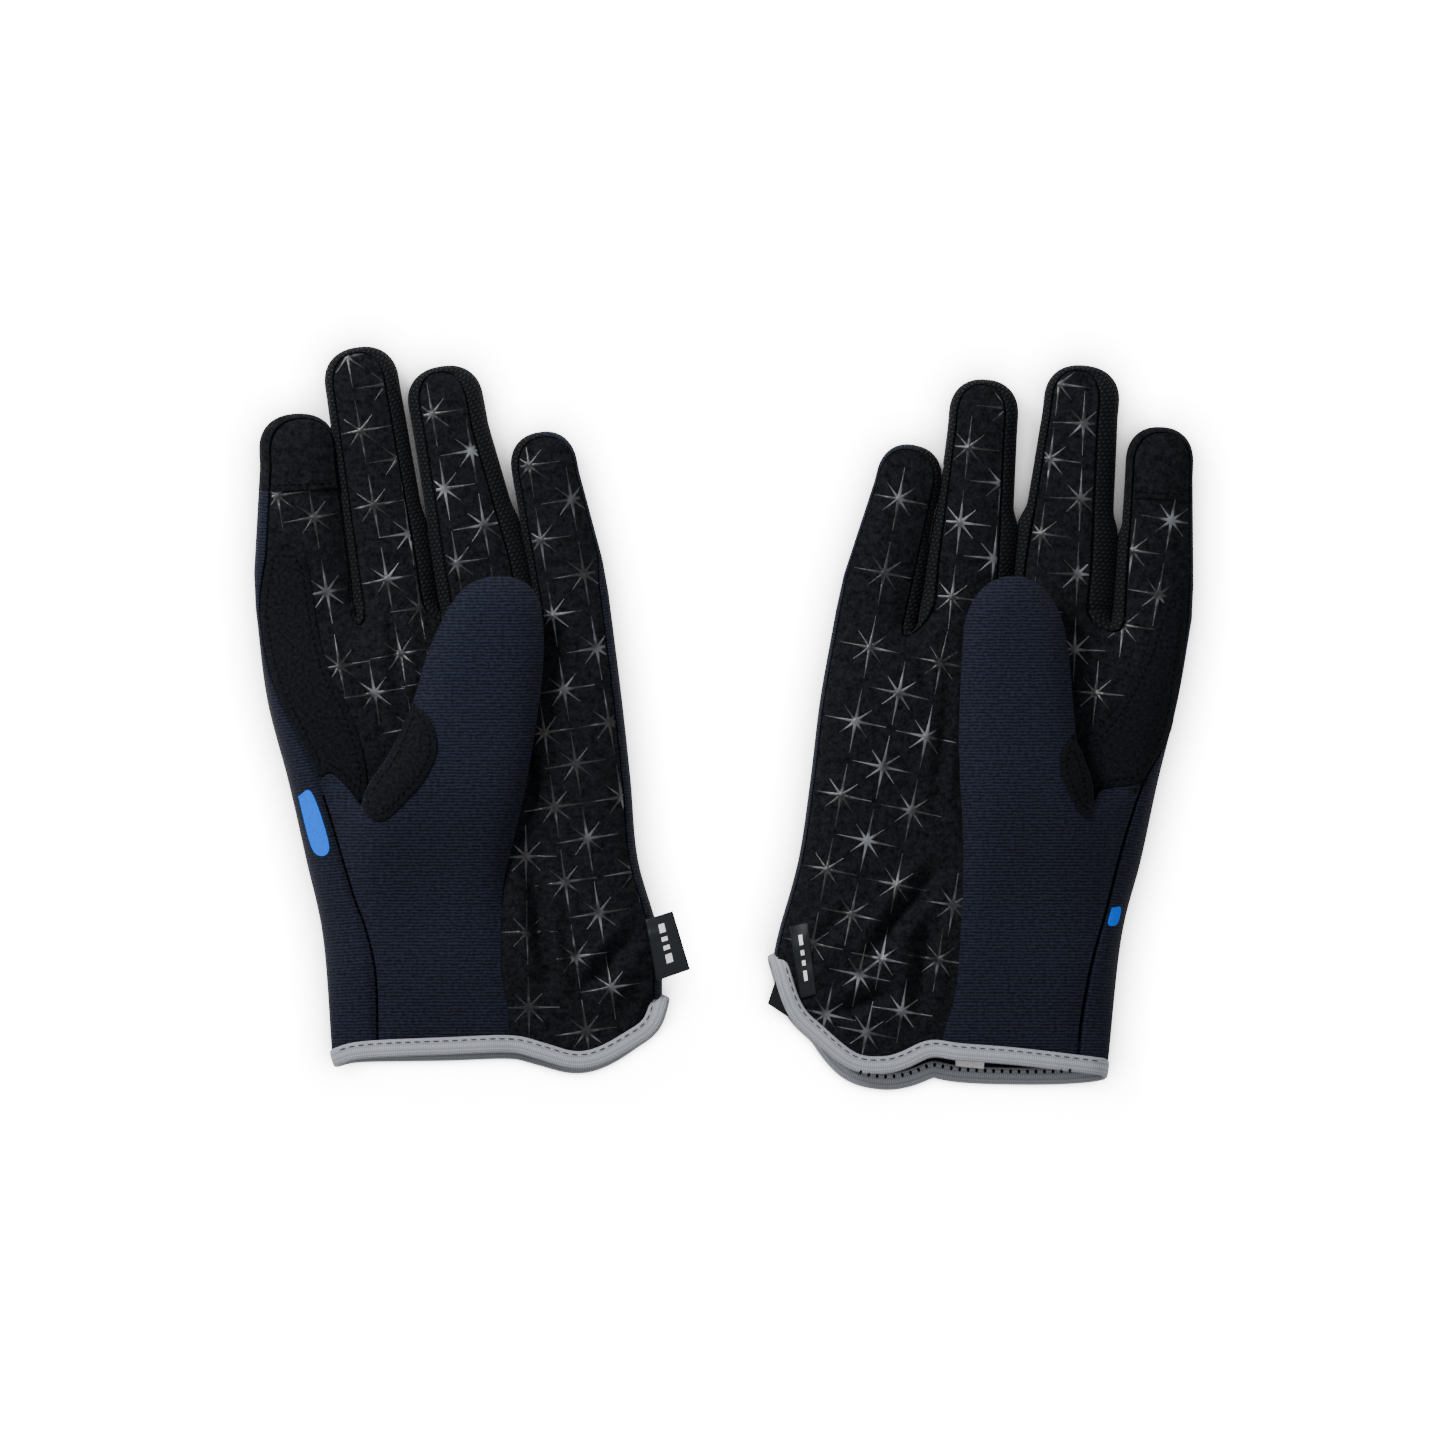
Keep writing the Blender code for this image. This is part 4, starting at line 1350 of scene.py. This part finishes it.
def build_tape_stitches(build, cuff, tape_tree):
    """The stitch line on the front of the tape, and bars on its back where that hangs out."""
    shown = slice(TAPE_END, TAPE_STEPS - TAPE_END)
    line = cuff.ring[shown, :2] - cuff.away[shown] * 1.7
    build.whole("tape_stitches", stitch_row(tape_tree, line, length=2.2, gap=0.9), "tape_thread")
    back = slice(TAPE_STEPS, None)
    hanging = build.glove.back_drop(cuff.ring[back]) > BARS_DROP
    if hanging.any():
        line = (cuff.ring[back, :2] - cuff.away[back] * 1.5)[hanging]
        build.whole("tape_bars", stitch_row(tape_tree, line, length=0.9, gap=1.9, width=1.5), "thread")


def build_glove(glove, materials):
    build = Builder(glove, materials)
    front, flank = glove.front_sheet(), glove.flank_sheet()
    front_tree, shell_tree = front.tree(), join(flank, front).tree()
    build_shell(build, front, flank)

    cap_line, patch_line = cap_outline(glove), side_patch_outline(glove)
    cap, patch = overlay(cap_line, front_tree, 1.2), overlay(patch_line, front_tree, 1.1)
    build_patches(build, cap, patch)

    thumb = ThumbCloth(glove, join(front, patch).tree())
    top = thumb.top_sheet()
    crotch_line = closed_curve(glove.world(CROTCH_PATCH[glove.name]), 90)
    crotch = overlay(crotch_line, top.tree(), 1.1)
    build_thumb(build, thumb, top, crotch)

    stars = star_sheet(glove, front_tree)
    build.pieces("stars", stars, glove.parts(stars), "star")
    cuff = Cuff(glove, join(front, top).tree())
    tape = cuff.sheet()
    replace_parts(build.whole("binding", tape, "binding", slot="binding"), f"{glove.name}_cuff_binding")
    blue_line = closed_curve(glove.world(BLUE_PRINT[glove.name]), 120)
    build.whole("blue_print", decal(blue_line, shell_tree), "blue")
    build_labels(build, front_tree)

    stitches = stitch_row(patch.tree(), inset_line(patch_line, 2.1), **PATCH_STITCH)
    build.pieces("patch_stitches", stitches, glove.parts(stitches), "thread")
    stitches = stitch_row(crotch.tree(), inset_line(crotch_line, 2.1), **PATCH_STITCH)
    build.pieces("crotch_stitches", stitches, thumb.parts(stitches), "thread", owner=thumb)
    # A near-black cord laid in the groove between the wrap and the palm: painted shade for the groove's
    # shadow.
    wrap_line = part_of_rim(glove, -109.0, -22.0, -0.45)
    seam_shadow_cord = stitch_row(shell_tree, wrap_line, length=3.0, gap=0.0, width=0.9, height=0.2)
    build.whole("wrap_seam", seam_shadow_cord, "thread")
    cap_base = cap_line[-CAP_STEPS:] + glove.index.root.heading * 1.8
    stitches = stitch_row(cap.tree(), cap_base, **PATCH_STITCH)
    build.pieces("cap_stitches", stitches, glove.parts(stitches), "thread")
    build_tape_stitches(build, cuff, tape.tree())


# Stage, in metres and watts: each light has its name, place, power and width.
FLOOR_HALF = 12.0
FLOOR_Z = -0.0002
SKY_STRENGTH = 0.6
LIGHTS = (
    ("key", (-0.8, 0.8, 0.9), 42.0, 0.5),
    ("fill", (0.9, -0.3, 1.1), 7.0, 1.0),
)
CAMERA = (-0.00096, -0.0042, 1.5)
VIEW_WIDTH = 0.47685


def build_stage():
    """A white table, a soft sky, a key light from the upper left and a weak fill, seen from above."""
    floor_mesh = bpy.data.meshes.new("floor")
    corners = ((-1, -1), (1, -1), (1, 1), (-1, 1))
    corners = [(FLOOR_HALF * x, FLOOR_HALF * y, FLOOR_Z) for x, y in corners]
    floor_mesh.from_pydata(corners, [], [(0, 1, 2, 3)])
    floor_mesh.uv_layers.new(name="cloth")
    floor = bpy.data.objects.new("floor", floor_mesh)
    bpy.context.scene.collection.objects.link(floor)
    floor_mesh.materials.append(floor_material())

    world = bpy.data.worlds.new("sky")
    bpy.context.scene.world = world
    world.use_nodes = True
    sky = world.node_tree.nodes["Background"].inputs
    sky["Color"].default_value = (1.0, 1.0, 1.0, 1.0)
    sky["Strength"].default_value = SKY_STRENGTH

    for label, place, energy, width in LIGHTS:
        lamp = bpy.data.lights.new(label, "AREA")
        lamp.energy = energy
        lamp.size = width
        light = bpy.data.objects.new(label, lamp)
        light.location = place
        light.rotation_euler = (-Vector(place)).to_track_quat("-Z", "Y").to_euler()
        bpy.context.scene.collection.objects.link(light)

    lens = bpy.data.cameras.new("camera")
    lens.type = "ORTHO"
    lens.ortho_scale = VIEW_WIDTH
    camera = bpy.data.objects.new("camera", lens)
    camera.location = CAMERA
    bpy.context.scene.collection.objects.link(camera)
    bpy.context.scene.camera = camera


def main():
    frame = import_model()
    joints = {joint["name"]: joint for joint in frame["joints"]}
    materials = {
        "suede": suede_material(),
        "patch": patch_material(),
        "knit": knit_material(),
        "twill": twill_material(),
        "binding": binding_material(),
        "star": star_material(),
        "blue": plain_material("blue_print", (0.001, 0.100, 0.620), 0.8, specular=0.03),
        "label": plain_material("label_satin", (0.0035, 0.0050, 0.0065), 0.55, specular=0.2),
        "bars": plain_material("label_bars", (0.62, 0.62, 0.64), 0.6),
        "thread": plain_material("thread", (0.0005, 0.0005, 0.0006), 0.8, specular=0.05),
        "care": plain_material("care_label", (0.70, 0.70, 0.70), 0.7),
        "tape_thread": plain_material("tape_thread", (0.030, 0.032, 0.038), 0.7),
    }
    for side in SIDES:
        build_glove(Glove(side, joints), materials)
    build_stage()


main()
